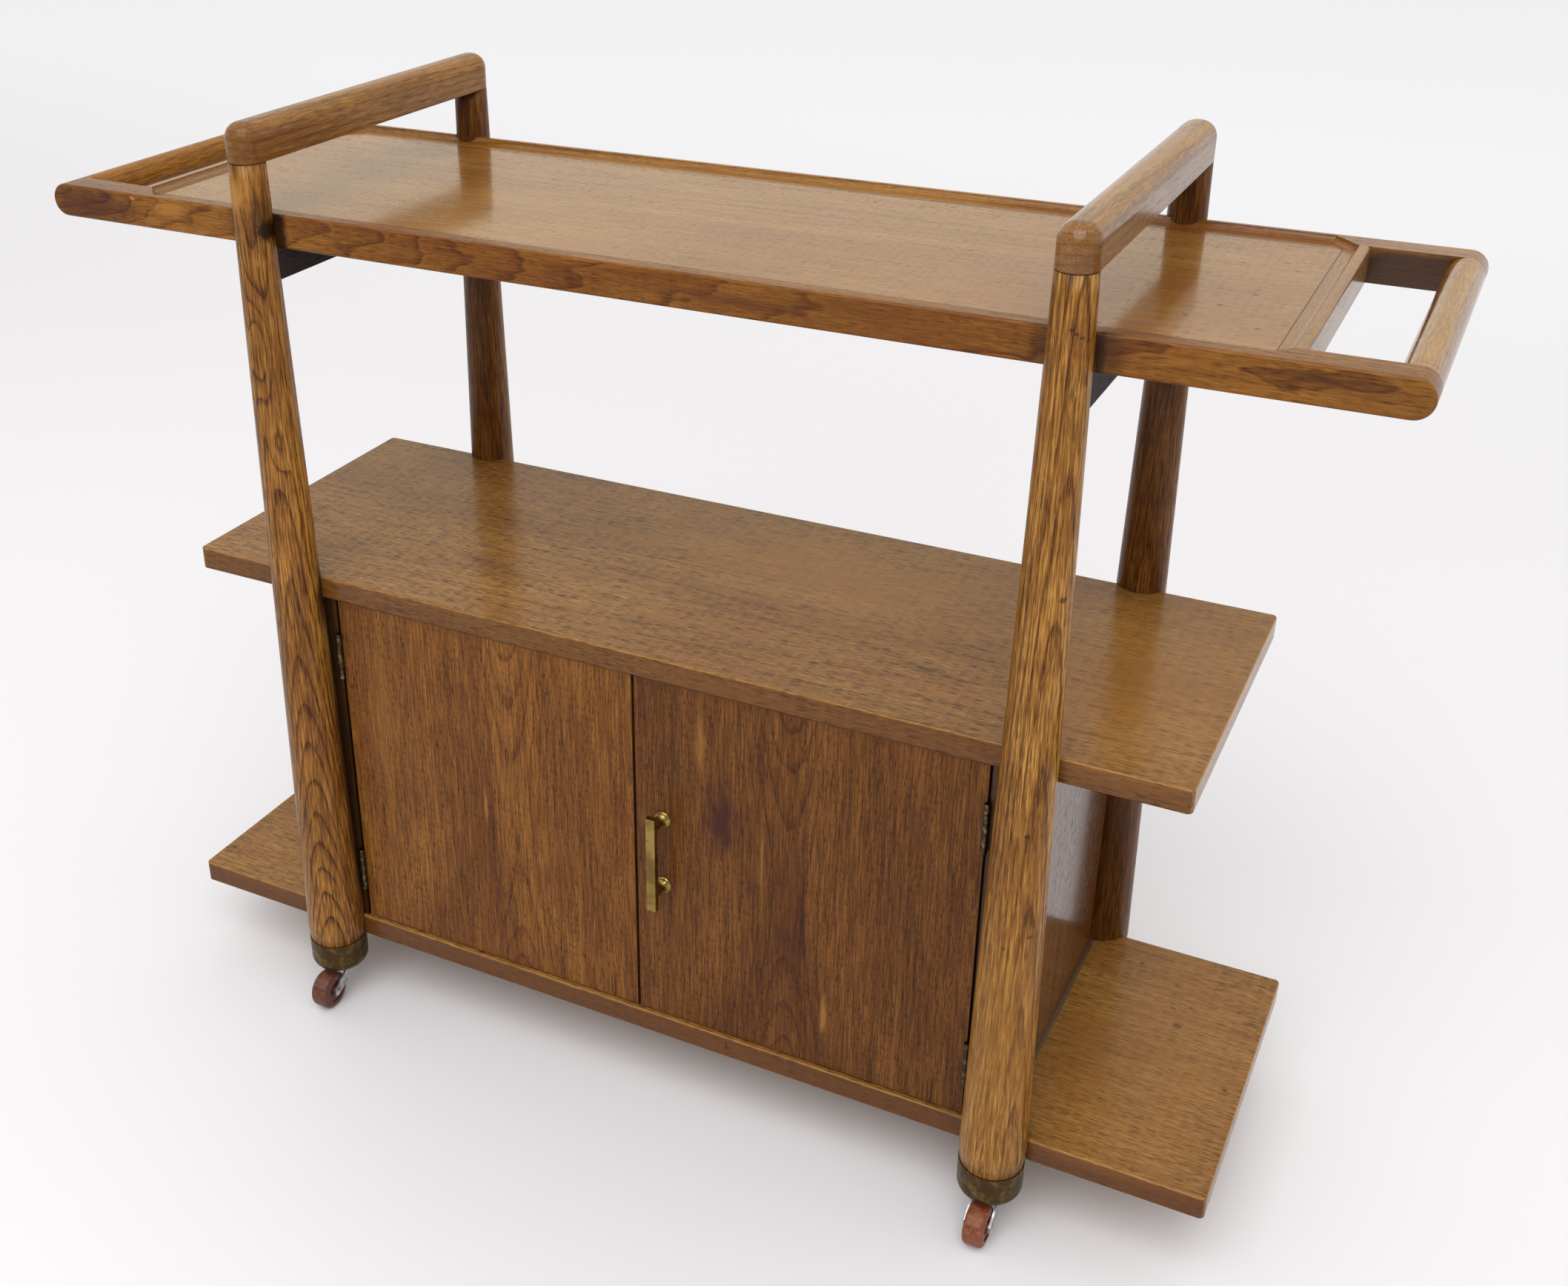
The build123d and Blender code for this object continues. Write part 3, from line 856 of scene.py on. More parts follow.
REAR_RAIL_WOOD = replace(
    RAIL_WOOD,
    light=paint(170, 120, 54),
    middle=paint(136, 90, 34),
    dark=paint(92, 54, 16),
    ring_line=0.0,
    ring_contrast=0.2,
    rough=0.18,
    gloss=0.3,
)
PANEL_WOOD = WoodFinish(
    light=paint(158, 119, 64),
    middle=paint(138, 94, 42),
    dark=paint(102, 66, 28),
    pore=paint(62, 38, 14),
    blush=paint(136, 84, 40),
    blush_cover=0.35,
    ring_contrast=0.15,
    mottle=0.4,
    streak=0.2,
    fibre=0.6,
    pore_cell=(0.009, 0.0008),
    pore_size=0.42,
    pore_strength=0.7,
    rough=0.12,
    rough_spread=0.04,
    gloss=0.45,
    pore_depth=0.00003,
)
END_RAIL_WOOD = replace(
    PANEL_WOOD,
    light=paint(148, 108, 58),
    middle=paint(127, 85, 38),
    dark=paint(94, 60, 26),
    pore_strength=0.4,
    rough=0.2,
    pore_depth=0.00002,
)
SHELF_WOOD = WoodFinish(
    light=paint(176, 131, 70),
    middle=paint(140, 98, 46),
    dark=paint(94, 58, 20),
    pore=paint(54, 30, 10),
    blush=paint(132, 82, 36),
    blush_cover=0.3,
    ring_contrast=0.14,
    mottle=0.28,
    fibre=0.85,
    pore_cell=(0.013, 0.0010),
    pore_size=0.48,
    pore_strength=0.9,
    streak=0.18,
    rough=0.2,
    rough_spread=0.05,
    # Wear and a painted highlight along the shelf's front arrises.
    edge=paint(176, 128, 72),
)
DOOR_WOOD = WoodFinish(
    light=paint(150, 99, 43),
    middle=paint(115, 70, 26),
    dark=paint(72, 39, 11),
    pore=paint(42, 19, 6),
    blush=paint(92, 48, 20),
    blush_cover=0.3,
    ring_contrast=0.3,
    mottle=0.4,
    streak=0.32,
    fibre=0.85,
    fibre_cells=(34.0, 900.0),
    pore_cell=(0.009, 0.0010),
    pore_size=0.46,
    pore_strength=0.68,
    gloss=0.13,
    edge=paint(128, 84, 40),
)
DARK_DOOR_WOOD = replace(
    DOOR_WOOD,
    light=paint(132, 84, 36),
    middle=paint(97, 58, 22),
    dark=paint(61, 32, 11),
    blush=paint(80, 40, 20),
)
CASE_WOOD = WoodFinish(
    light=paint(112, 70, 30),
    middle=paint(90, 54, 22),
    dark=paint(64, 34, 12),
    pore=paint(42, 20, 8),
    blush=paint(84, 44, 18),
)
SIDE_WOOD = replace(CASE_WOOD, rough=0.14, rough_spread=0.03, gloss=0.32)
BEARER_WOOD = WoodFinish(
    light=paint(56, 46, 42),
    middle=paint(42, 34, 31),
    dark=paint(28, 22, 20),
    pore=paint(20, 15, 12),
    blush=paint(44, 34, 30),
    rough=0.6,
    gloss=0.12,
)
FERRULE_BRASS = MetalFinish(
    clean=paint(122, 98, 58),
    tarnish=paint(76, 58, 35),
    speck=paint(46, 34, 22),
    tarnish_cover=0.7,
    rough=0.42,
)
PULL_BRASS = MetalFinish(
    clean=paint(156, 130, 72),
    tarnish=paint(116, 94, 50),
    speck=paint(52, 40, 24),
    tarnish_cover=0.5,
    speck_cover=0.3,
    rough=0.26,
    rough_spread=0.08,
    cell=0.022,
)
HINGE_BRASS = MetalFinish(
    clean=paint(150, 130, 96),
    tarnish=paint(66, 54, 40),
    speck=paint(34, 28, 22),
    tarnish_cover=0.75,
    speck_cover=0.4,
    rough=0.36,
    cell=0.006,
)
CASTER_STEEL = MetalFinish(
    clean=paint(196, 196, 198),
    tarnish=paint(140, 136, 132),
    speck=paint(88, 76, 66),
    tarnish_cover=0.4,
    rough=0.34,
    cell=0.007,
)
CATCH_PLASTIC = MetalFinish(
    clean=paint(196, 188, 170),
    tarnish=paint(172, 160, 138),
    speck=paint(110, 98, 80),
    metallic=0.0,
    rough=0.5,
    cell=0.01,
)
WHEEL_COMPOSITION = WheelFinish(
    light=paint(136, 61, 20),
    dark=paint(88, 38, 13),
    scuff=paint(150, 98, 58),
)
DARK_WHEEL_COMPOSITION = WheelFinish(
    light=paint(104, 48, 28),
    dark=paint(58, 26, 16),
    scuff=paint(120, 78, 54),
)

LEG_TURN = math.radians(27)
LEG_FIGURES = {
    "front_left": Figure(
        GrainAxis.ALONG_Z,
        pith_depth=0.11,
        slope=0.05,
        bow=-0.13,
        ring_width=0.0052,
        waver=0.005,
        turn=LEG_TURN,
        bulges=(
            Bulge(0.262, -0.004, half_length=0.05, half_width=0.011, rise=0.018),
            Bulge(0.17, 0.003, half_length=0.035, half_width=0.009, rise=0.009),
        ),
    ),
    "front_right": Figure(
        GrainAxis.ALONG_Z,
        pith_across=0.018,
        pith_depth=0.06,
        slope=0.03,
        ring_width=0.0058,
        turn=LEG_TURN,
    ),
    "rear_left": Figure(
        GrainAxis.ALONG_Z,
        pith_across=0.006,
        pith_depth=0.07,
        slope=-0.05,
        bow=0.1,
        ring_width=0.0056,
        turn=LEG_TURN,
    ),
    "rear_right": Figure(
        GrainAxis.ALONG_Z,
        pith_across=-0.012,
        slope=0.06,
        ring_width=0.0062,
        turn=LEG_TURN,
    ),
}
LEG_WOODS = {
    "front_left": LEG_WOOD,
    "front_right": GOLDEN_LEG_WOOD,
    "rear_left": SHADED_REAR_LEG_WOOD,
    "rear_right": SHADED_REAR_LEG_WOOD,
}


# Marks of wear, and painted shade beside legs, in recesses and under edges

# These dark colours paint soot, stains, joints and holes, and also painted shade where parts meet or
# overhang.
SOOT_AND_SHADE = paint(22, 12, 7)
STAIN_AND_SHADE = paint(52, 28, 12)
GLUE = paint(70, 62, 56)
GOLD = paint(176, 124, 58)
RUST = paint(84, 44, 14)
PLUM = paint(60, 28, 24)

LEG_X = 0.3775
LEG_Y = 0.1805
LEG_TOP_RADIUS = 0.0168
BAR_JOINT = 0.934
BAR_SEAM = (0.06, 0.06, 0.0009)
FOOT_TOP = 0.0815
JOINT_LINE = 0.0022
RAIL_TOP = 0.8865
RAIL_MIDDLE = 0.871
PANEL_TOP = 0.8815
PANEL_HALF_LENGTH = 0.5165
PANEL_HALF_WIDTH = 0.1436
HANDLE_X = 0.6145
HANDLE_JOINT = 0.1365
MIDDLE_TOP = 0.5205
BOTTOM_TOP = 0.106
CASE_HALF_LENGTH = 0.379
DOOR_FACE = -0.1655
DOOR_ENDS = (0.1075, 0.4957)
DOOR_HINGED = 0.341
STILE_GAP = 0.343
TOP_DEPTH = 0.02
WHOLE_LENGTH = 20.0


def seam(at: Point, half: Point, strength: float = 0.85) -> Patch:
    """Returns the dark line that a joint shows."""
    return Patch(at, half, SOOT_AND_SHADE, strength, soft=0.7)


def flaw(x: float, y: float, height: float, half: tuple[float, float], soft: float) -> Patch:
    """Returns a small dark hole in a level top, of that half length and half width."""
    return Patch((x, y, height), (*half, 0.01), SOOT_AND_SHADE, 0.95, soft, ragged=0.6)


def flecks(height: float, spots: tuple[tuple[float, float], ...]) -> tuple[Patch, ...]:
    """Scatters small dark worm holes and flecks on a level top.

    Args:
        height: The height of the top.
        spots: X and Y of each fleck.

    Returns:
        One patch for each.
    """
    return tuple(flaw(x, y, height, (0.003, 0.0019), soft=0.4) for x, y in spots)


def leg_joints(end: int, height: float) -> tuple[Patch, ...]:
    """Rings two legs with the dark line of their joint, on a level top.

    Args:
        end: -1 for the front legs and 1 for the rear ones.
        height: The height of the top.

    Returns:
        One patch for each leg.
    """
    low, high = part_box("leg_front_left")
    share = (height - FOOT_TOP) / (BAR_JOINT - FOOT_TOP)
    radius = (high.x - low.x) / 2 * (1 - share) + LEG_TOP_RADIUS * share + JOINT_LINE
    return tuple(
        Patch((x, end * LEG_Y, height), (radius, radius, TOP_DEPTH), SOOT_AND_SHADE, 0.8, soft=0.12)
        for x in (-LEG_X, LEG_X)
    )


def shelf_joints(height: float) -> tuple[Patch, ...]:
    """Returns the dark rings round all four legs on a shelf."""
    return (*leg_joints(-1, height), *leg_joints(1, height))


def bar_joints(x: float) -> tuple[Patch, ...]:
    """Returns the seams between an arch bar and its front and rear legs."""
    return tuple(seam((x, y, BAR_JOINT), BAR_SEAM) for y in (-LEG_Y, LEG_Y))


def handle_joints(x: float) -> tuple[Patch, ...]:
    """Returns the seams between a handle and the two rails."""
    return tuple(
        seam((x, y, RAIL_MIDDLE), (0.04, 0.0011, 0.04)) for y in (-HANDLE_JOINT, HANDLE_JOINT)
    )


def panel_seams() -> tuple[Patch, ...]:
    """Draws the seams round the tray's panel, of which the front one is the faintest.

    Returns:
        The rear, front, right and left seams.
    """
    along = (0.8, 0.0012, TOP_DEPTH)
    across = (0.0012, 0.3, TOP_DEPTH)
    return (
        seam((0.0, PANEL_HALF_WIDTH, PANEL_TOP), along, 0.7),
        seam((0.0, -PANEL_HALF_WIDTH, PANEL_TOP), along, 0.6),
        seam((PANEL_HALF_LENGTH, 0.0, PANEL_TOP), across, 0.7),
        seam((-PANEL_HALF_LENGTH, 0.0, PANEL_TOP), across, 0.7),
    )


def door_edges(hinged: float, free: float) -> tuple[Patch, ...]:
    """Soils the four edges of a door's face.

    Args:
        hinged: X of the hinged edge.
        free: X of the free edge.

    Returns:
        One patch for each edge.
    """
    spots = [((x, DOOR_FACE, 0.3), (0.0008, 0.004, 5.0)) for x in (hinged, free)]
    spots += [((0.0, DOOR_FACE, z), (9.0, 0.004, 0.0008)) for z in DOOR_ENDS]
    return tuple(Patch(at, half, SOOT_AND_SHADE, 0.7, soft=0.5) for at, half in spots)


def glue_line(side: int) -> Patch:
    """Returns the old glue along the foot of one side of the case, -1 or 1, on the bottom shelf."""
    at, half = (side * CASE_HALF_LENGTH, 0.0, BOTTOM_TOP), (0.0035, 0.3, TOP_DEPTH)
    return Patch(at, half, GLUE, 0.8, soft=0.4, ragged=0.6)


@dataclass(frozen=True)
class Face:
    """An upright face that carries marks: its Y, and how deep they reach into the piece."""

    y: float
    depth: float

    def mark(
        self,
        x: float,
        z: float,
        half_width: float,
        half_height: float,
        colour: Colour,
        strength: float,
        soft: float,
        ragged: float = 0.0,
    ) -> Patch:
        """Returns a mark on the face, of that colour, strength and softness."""
        half = (half_width, self.depth, half_height)
        return Patch((x, self.y, z), half, colour, strength, soft, ragged)


LEG = Face(-0.2, depth=0.03)
RAIL = Face(-0.1735, depth=0.03)
RAIL_SKIN = Face(-0.1735, depth=0.02)
DOOR = Face(DOOR_FACE, depth=0.05)
STILE = Face(DOOR_FACE, depth=0.03)
SHELF = Face(-0.1695, depth=0.01)
SHELF_SKIN = Face(-0.1695, depth=0.0014)


def stile_shade_and_patina(side: int, half_width: float) -> tuple[Patch, ...]:
    """Darkens the stile beside a door with painted shade and patina, most of all along the gap.

    Args:
        side: -1 for the left stile and 1 for the right one.
        half_width: Half the width of the darkened strip.

    Returns:
        The strip and the gap's line.
    """
    strip = STILE.mark(side * LEG_X, 0.3, half_width, 0.6, SOOT_AND_SHADE, 0.85, soft=0.35, ragged=0.1)
    return strip, STILE.mark(side * STILE_GAP, 0.3, 0.0014, 0.6, SOOT_AND_SHADE, 0.8, soft=0.5)


MARKS: dict[str, tuple[Patch, ...]] = {
    "leg_front_left": (
        seam((-LEG_X, -LEG_Y, BAR_JOINT), BAR_SEAM),
        Patch((-0.3625, -0.18, 0.874), (0.009, 0.02, 0.015), SOOT_AND_SHADE, 0.95, soft=0.6, ragged=0.4),
        Patch((-0.3645, -0.185, 0.892), (0.013, 0.02, 0.026), STAIN_AND_SHADE, 0.55, soft=0.9, ragged=0.5),
        Patch((-0.3925, -0.192, 0.885), (0.004, 0.02, 0.006), SOOT_AND_SHADE, 0.8, soft=0.7, ragged=0.4),
        # Painted shade down the leg's right side, beside the left stile and the middle shelf.
        Patch((-0.355, -0.172, 0.50), (0.012, 0.018, 0.05), SOOT_AND_SHADE, 0.85, soft=0.9, ragged=0.5),
        Patch((-0.349, -0.165, 0.30), (0.012, 0.018, 0.26), SOOT_AND_SHADE, 0.8, soft=0.8, ragged=0.3),
        Patch((-LEG_X, -0.2, 0.82), (0.05, 0.05, 0.2), STAIN_AND_SHADE, 0.12, soft=1.0),
        LEG.mark(-0.384, 0.908, 0.024, 0.026, GOLD, 0.75, soft=0.9, ragged=0.4),
    ),
    "leg_front_right": (
        seam((LEG_X, -LEG_Y, BAR_JOINT), BAR_SEAM),
        LEG.mark(0.382, 0.8935, 0.0028, 0.0022, STAIN_AND_SHADE, 0.8, soft=0.8),
        LEG.mark(0.3856, 0.8905, 0.0028, 0.002, STAIN_AND_SHADE, 0.8, soft=0.8),
        LEG.mark(0.3893, 0.8875, 0.0028, 0.0018, STAIN_AND_SHADE, 0.8, soft=0.8),
        LEG.mark(0.393, 0.885, 0.0028, 0.0016, STAIN_AND_SHADE, 0.8, soft=0.8),
        LEG.mark(0.3865, 0.845, 0.0022, 0.012, SOOT_AND_SHADE, 0.6, soft=0.9, ragged=0.4),
        LEG.mark(0.3948, 0.6762, 0.003, 0.004, SOOT_AND_SHADE, 0.7, soft=0.6, ragged=0.4),
        LEG.mark(0.3874, 0.4598, 0.003, 0.003, SOOT_AND_SHADE, 0.7, soft=0.6, ragged=0.4),
        LEG.mark(0.377, 0.344, 0.003, 0.003, SOOT_AND_SHADE, 0.7, soft=0.6, ragged=0.4),
        LEG.mark(0.397, 0.357, 0.003, 0.003, SOOT_AND_SHADE, 0.7, soft=0.6, ragged=0.4),
        LEG.mark(0.392, 0.29, 0.004, 0.04, STAIN_AND_SHADE, 0.6, soft=0.9, ragged=0.5),
        Patch((LEG_X, -0.2, 0.22), (0.05, 0.05, 0.25), GOLD, 0.3, soft=1.0),
        # Painted shade down the leg's left side, beside the right stile and door.
        Patch((0.35, -0.16, 0.30), (0.012, 0.02, 0.26), SOOT_AND_SHADE, 0.7, soft=0.8, ragged=0.3),
    ),
    "leg_rear_right": (
        # Painted shade on the lower rear right leg, in the corner beside the cabinet's side.
        Patch((0.352, 0.167, 0.3), (0.012, 0.016, 0.25), SOOT_AND_SHADE, 0.85, soft=0.8, ragged=0.2),
        Patch((LEG_X, 0.16, 0.28), (0.05, 0.04, 0.28), STAIN_AND_SHADE, 0.35, soft=0.8, ragged=0.4),
    ),
    "arch_bar_left": (
        *bar_joints(-LEG_X),
        Patch((-LEG_X, -0.2, 0.95), (0.05, 0.04, 0.05), RUST, 0.35, soft=0.8),
    ),
    "arch_bar_right": (
        *bar_joints(LEG_X),
        Patch((LEG_X, -0.2, 0.95), (0.05, 0.04, 0.05), RUST, 0.25, soft=0.8),
    ),
    "tray_rail_front": (
        *leg_joints(-1, RAIL_TOP),
        RAIL.mark(-0.58, RAIL_MIDDLE, 0.07, 0.03, PLUM, 0.65, soft=0.8, ragged=0.5),
        RAIL_SKIN.mark(-0.485, 0.877, 0.03, 0.009, GOLD, 0.45, soft=0.8, ragged=0.5),
        RAIL_SKIN.mark(-0.5282, 0.8825, 0.004, 0.003, GOLD, 0.7, soft=0.6),
        RAIL.mark(0.3985, RAIL_MIDDLE, 0.006, 0.03, SOOT_AND_SHADE, 0.9, soft=0.7, ragged=0.2),
        RAIL.mark(0.405, RAIL_MIDDLE, 0.017, 0.04, STAIN_AND_SHADE, 0.55, soft=0.7, ragged=0.2),
        RAIL.mark(0.353, RAIL_MIDDLE, 0.012, 0.03, STAIN_AND_SHADE, 0.5, soft=0.8, ragged=0.2),
        RAIL.mark(-0.357, RAIL_MIDDLE, 0.013, 0.04, SOOT_AND_SHADE, 0.9, soft=0.6, ragged=0.3),
        RAIL.mark(0.10, 0.869, 0.10, 0.006, PLUM, 0.4, soft=0.9, ragged=0.5),
        RAIL.mark(0.17, RAIL_MIDDLE, 0.22, 0.05, RUST, 0.35, soft=1.0, ragged=0.3),
        RAIL.mark(0.56, 0.876, 0.05, 0.005, PLUM, 0.4, soft=0.9, ragged=0.5),
        RAIL.mark(0.60, RAIL_MIDDLE, 0.12, 0.05, STAIN_AND_SHADE, 0.25, soft=1.0, ragged=0.3),
    ),
    "tray_rail_rear": (
        # Painted shade on the rail's inner face inside the handle opening.
        Patch((0.585, 0.1445, 0.866), (0.09, 0.012, 0.024), STAIN_AND_SHADE, 0.92, soft=0.35, ragged=0.15),
        Patch((0.535, 0.14, 0.88), (0.025, 0.03, 0.02), STAIN_AND_SHADE, 0.4, soft=1.0, ragged=0.4),
        *leg_joints(1, RAIL_TOP),
    ),
    "tray_panel": (
        *flecks(
            PANEL_TOP,
            (
                (0.4769, -0.0154), (0.4949, -0.0985), (0.4395, -0.089), (0.482, 0.083),
                (0.4953, 0.0627), (0.5236, 0.0775), (0.4498, 0.0685), (0.4574, -0.0532),
                (-0.2556, 0.1033), (-0.2213, 0.0945), (-0.1538, 0.0406), (0.105, 0.1185),
                (0.1765, 0.1331), (0.2054, 0.0611), (0.2372, 0.0062),
            ),
        ),
        *panel_seams(),
        Patch((-0.29, 0.07, PANEL_TOP), (0.06, 0.04, TOP_DEPTH), PLUM, 0.22, soft=1.0, ragged=0.4),
    ),
    "tray_handle_right": handle_joints(HANDLE_X),
    "tray_handle_left": handle_joints(-HANDLE_X),
    "door_left": (
        *door_edges(-DOOR_HINGED, -0.0057),
        DOOR.mark(-0.178, 0.298, 0.003, 0.03, GOLD, 0.5, soft=0.9, ragged=0.5),
        DOOR.mark(-0.262, 0.285, 0.03, 0.05, PLUM, 0.25, soft=1.0, ragged=0.5),
        DOOR.mark(-0.12, 0.235, 0.05, 0.02, PLUM, 0.2, soft=1.0, ragged=0.5),
        DOOR.mark(-0.30, 0.38, 0.025, 0.12, GOLD, 0.2, soft=1.0, ragged=0.4),
    ),
    "door_right": (
        *door_edges(DOOR_HINGED, -0.0033),
        DOOR.mark(0.088, 0.361, 0.026, 0.055, PLUM, 0.9, soft=0.9, ragged=0.5),
        DOOR.mark(0.16, 0.2465, 0.03, 0.03, PLUM, 0.5, soft=1.0, ragged=0.5),
        DOOR.mark(0.197, 0.17, 0.006, 0.035, GOLD, 0.5, soft=0.9, ragged=0.6),
        DOOR.mark(0.066, 0.44, 0.009, 0.05, GOLD, 0.35, soft=1.0, ragged=0.6),
        DOOR.mark(0.13, 0.33, 0.004, 0.07, GOLD, 0.3, soft=1.0, ragged=0.6),
    ),
    "bottom_shelf": (
        *flecks(
            BOTTOM_TOP,
            (
                (0.4914, 0.0522), (0.4826, 0.0757), (0.4985, 0.0838), (0.4361, 0.133),
                (0.5548, -0.0211),
            ),
        ),
        flaw(0.4924, 0.0504, BOTTOM_TOP, (0.0055, 0.0032), soft=0.3),
        SHELF_SKIN.mark(0.0, 0.0925, WHOLE_LENGTH, 0.013, RUST, 0.8, soft=0.2),
        SHELF.mark(0.0961, 0.0955, 0.0012, 0.008, SOOT_AND_SHADE, 0.8, soft=0.6, ragged=0.3),
        SHELF.mark(0.0985, 0.0935, 0.006, 0.0012, SOOT_AND_SHADE, 0.5, soft=0.6, ragged=0.3),
        glue_line(1),
        Patch((0.4, -0.169, BOTTOM_TOP), (0.012, 0.03, 0.03), SOOT_AND_SHADE, 0.7, soft=0.8, ragged=0.4),
        glue_line(-1),
        Patch((0.47, 0.0, BOTTOM_TOP), (0.16, 0.3, TOP_DEPTH), GOLD, 0.35, soft=1.0, ragged=0.2),
        Patch((-0.47, 0.0, BOTTOM_TOP), (0.16, 0.3, TOP_DEPTH), GOLD, 0.2, soft=1.0, ragged=0.2),
        *shelf_joints(BOTTOM_TOP),
    ),
    "middle_shelf": (
        SHELF_SKIN.mark(0.0, 0.5075, WHOLE_LENGTH, 0.0125, RUST, 0.65, soft=0.2),
        # Painted shade: a dark line along the foot of the shelf's front edge.
        SHELF.mark(0.0, 0.4972, WHOLE_LENGTH, 0.0016, SOOT_AND_SHADE, 0.6, soft=0.6),
        Patch((0.44, 0.0, MIDDLE_TOP), (0.16, 0.3, TOP_DEPTH), GOLD, 0.4, soft=1.0, ragged=0.2),
        Patch((0.1, 0.06, MIDDLE_TOP), (0.3, 0.12, TOP_DEPTH), GOLD, 0.42, soft=1.0, ragged=0.3),
        *shelf_joints(MIDDLE_TOP),
    ),
    # The stiles behind the front legs carry painted shade and patina.
    "case_stile_left": stile_shade_and_patina(-1, 0.046),
    "case_stile_right": stile_shade_and_patina(1, 0.040),
    "case_side_right": (
        Patch((LEG_X, 0.0, BOTTOM_TOP), (0.02, 0.4, 0.003), GLUE, 0.8, soft=0.4, ragged=0.6),
    ),
}


# Meshes by geometry nodes


class NodeMesh(Nodes):
    """A geometry node tree that makes one piece from named sizes."""

    def __init__(self, name: str) -> None:
        """Starts a tree.

        Args:
            name: The tree's name.
        """
        super().__init__(bpy.data.node_groups.new(name, "GeometryNodeTree"))
        sockets = self.tree.interface
        sockets.new_socket("Geometry", in_out="OUTPUT", socket_type="NodeSocketGeometry")
        self.inputs = self.tree.nodes.new("NodeGroupInput")
        self.identifiers: dict[str, str] = {}

    def size(self, name: str, kind: str = "NodeSocketFloat") -> Socket:
        """Adds a named input.

        Args:
            name: The input's name.
            kind: The type of its socket.

        Returns:
            The socket that gives its value inside the tree.
        """
        item = self.tree.interface.new_socket(name, in_out="INPUT", socket_type=kind)
        self.identifiers[name] = item.identifier
        return self.inputs.outputs[name]

    def step(self, kind: str, **feeds: object) -> bpy.types.Node:
        """Adds a node and feeds its inputs.

        Args:
            kind: The node's type.
            feeds: A value or socket for each input, named with underscores for spaces.

        Returns:
            The node.
        """
        made = self.tree.nodes.new(kind)
        for label, value in feeds.items():
            self.feed(made.inputs[label.replace("_", " ")], value)
        return made

    def finish(self, geometry: Socket, material: Socket) -> None:
        """Ends the tree in Realize Instances and Set Material.

        Args:
            geometry: What the tree made.
            material: The input that holds its material.
        """
        real = self.step("GeometryNodeRealizeInstances", Geometry=geometry)
        dressed = self.step("GeometryNodeSetMaterial", Geometry=real.outputs[0], Material=material)
        self.feed(self.tree.nodes.new("NodeGroupOutput").inputs[0], dressed.outputs[0])

    def mesh(self, name: str, **sizes: object) -> bpy.types.Mesh:
        """Runs the tree with these sizes.

        Args:
            name: The name of the mesh.
            sizes: A value for each named input, with underscores for spaces.

        Returns:
            The result as a plain mesh.
        """
        holder = bpy.data.objects.new(name + "_nodes", bpy.data.meshes.new(name + "_empty"))
        bpy.context.scene.collection.objects.link(holder)
        modifier = holder.modifiers.new("nodes", "NODES")
        modifier.node_group = self.tree
        for label, value in sizes.items():
            modifier[self.identifiers[label.replace("_", " ")]] = value
        evaluated = holder.evaluated_get(bpy.context.evaluated_depsgraph_get())
        result = bpy.data.meshes.new_from_object(evaluated)
        result.name = name
        bpy.data.objects.remove(holder)
        return result


def turned_leg_tree() -> NodeMesh:
    """Builds the tree of a turned leg: a straight taper, eased at the foot.

    Returns:
        The tree.
    """
    tree = NodeMesh("Turned leg")
    foot_radius = tree.size("Foot Radius")
    top_radius = tree.size("Top Radius")
    foot = tree.size("Foot", "NodeSocketVector")
    length = tree.size("Length")
    easing = tree.size("Foot Easing")
    sides = tree.size("Sides", "NodeSocketInt")
    courses = tree.size("Courses", "NodeSocketInt")
    material = tree.size("Material", "NodeSocketMaterial")
    body = tree.step(
        "GeometryNodeMeshCone",
        Vertices=sides,
        Side_Segments=courses,
        Radius_Top=top_radius,
        Radius_Bottom=foot_radius,
        Depth=length,
    )
    position = tree.step("GeometryNodeInputPosition")
    split = tree.step("ShaderNodeSeparateXYZ", Vector=position.outputs[0])
    near_foot = tree.math("LESS_THAN", split.outputs["Z"], tree.scaled(easing, 0.5))
    shrink = tree.math("DIVIDE", tree.math("SUBTRACT", foot_radius, easing), foot_radius)
    scale = tree.step("ShaderNodeCombineXYZ", X=shrink, Y=shrink, Z=1.0)
    eased = tree.step("ShaderNodeVectorMath")
    eased.operation = "MULTIPLY"
    tree.feed(eased.inputs[0], position.outputs[0])
    tree.feed(eased.inputs[1], scale.outputs[0])
    tapered = tree.step(
        "GeometryNodeSetPosition",
        Geometry=body.outputs["Mesh"],
        Selection=near_foot,
        Position=eased.outputs[0],
    )
    smooth = tree.step("GeometryNodeSetShadeSmooth", Geometry=tapered.outputs[0])
    placed = tree.step("GeometryNodeTransform", Geometry=smooth.outputs[0], Translation=foot)
    tree.finish(placed.outputs[0], material)
    return tree


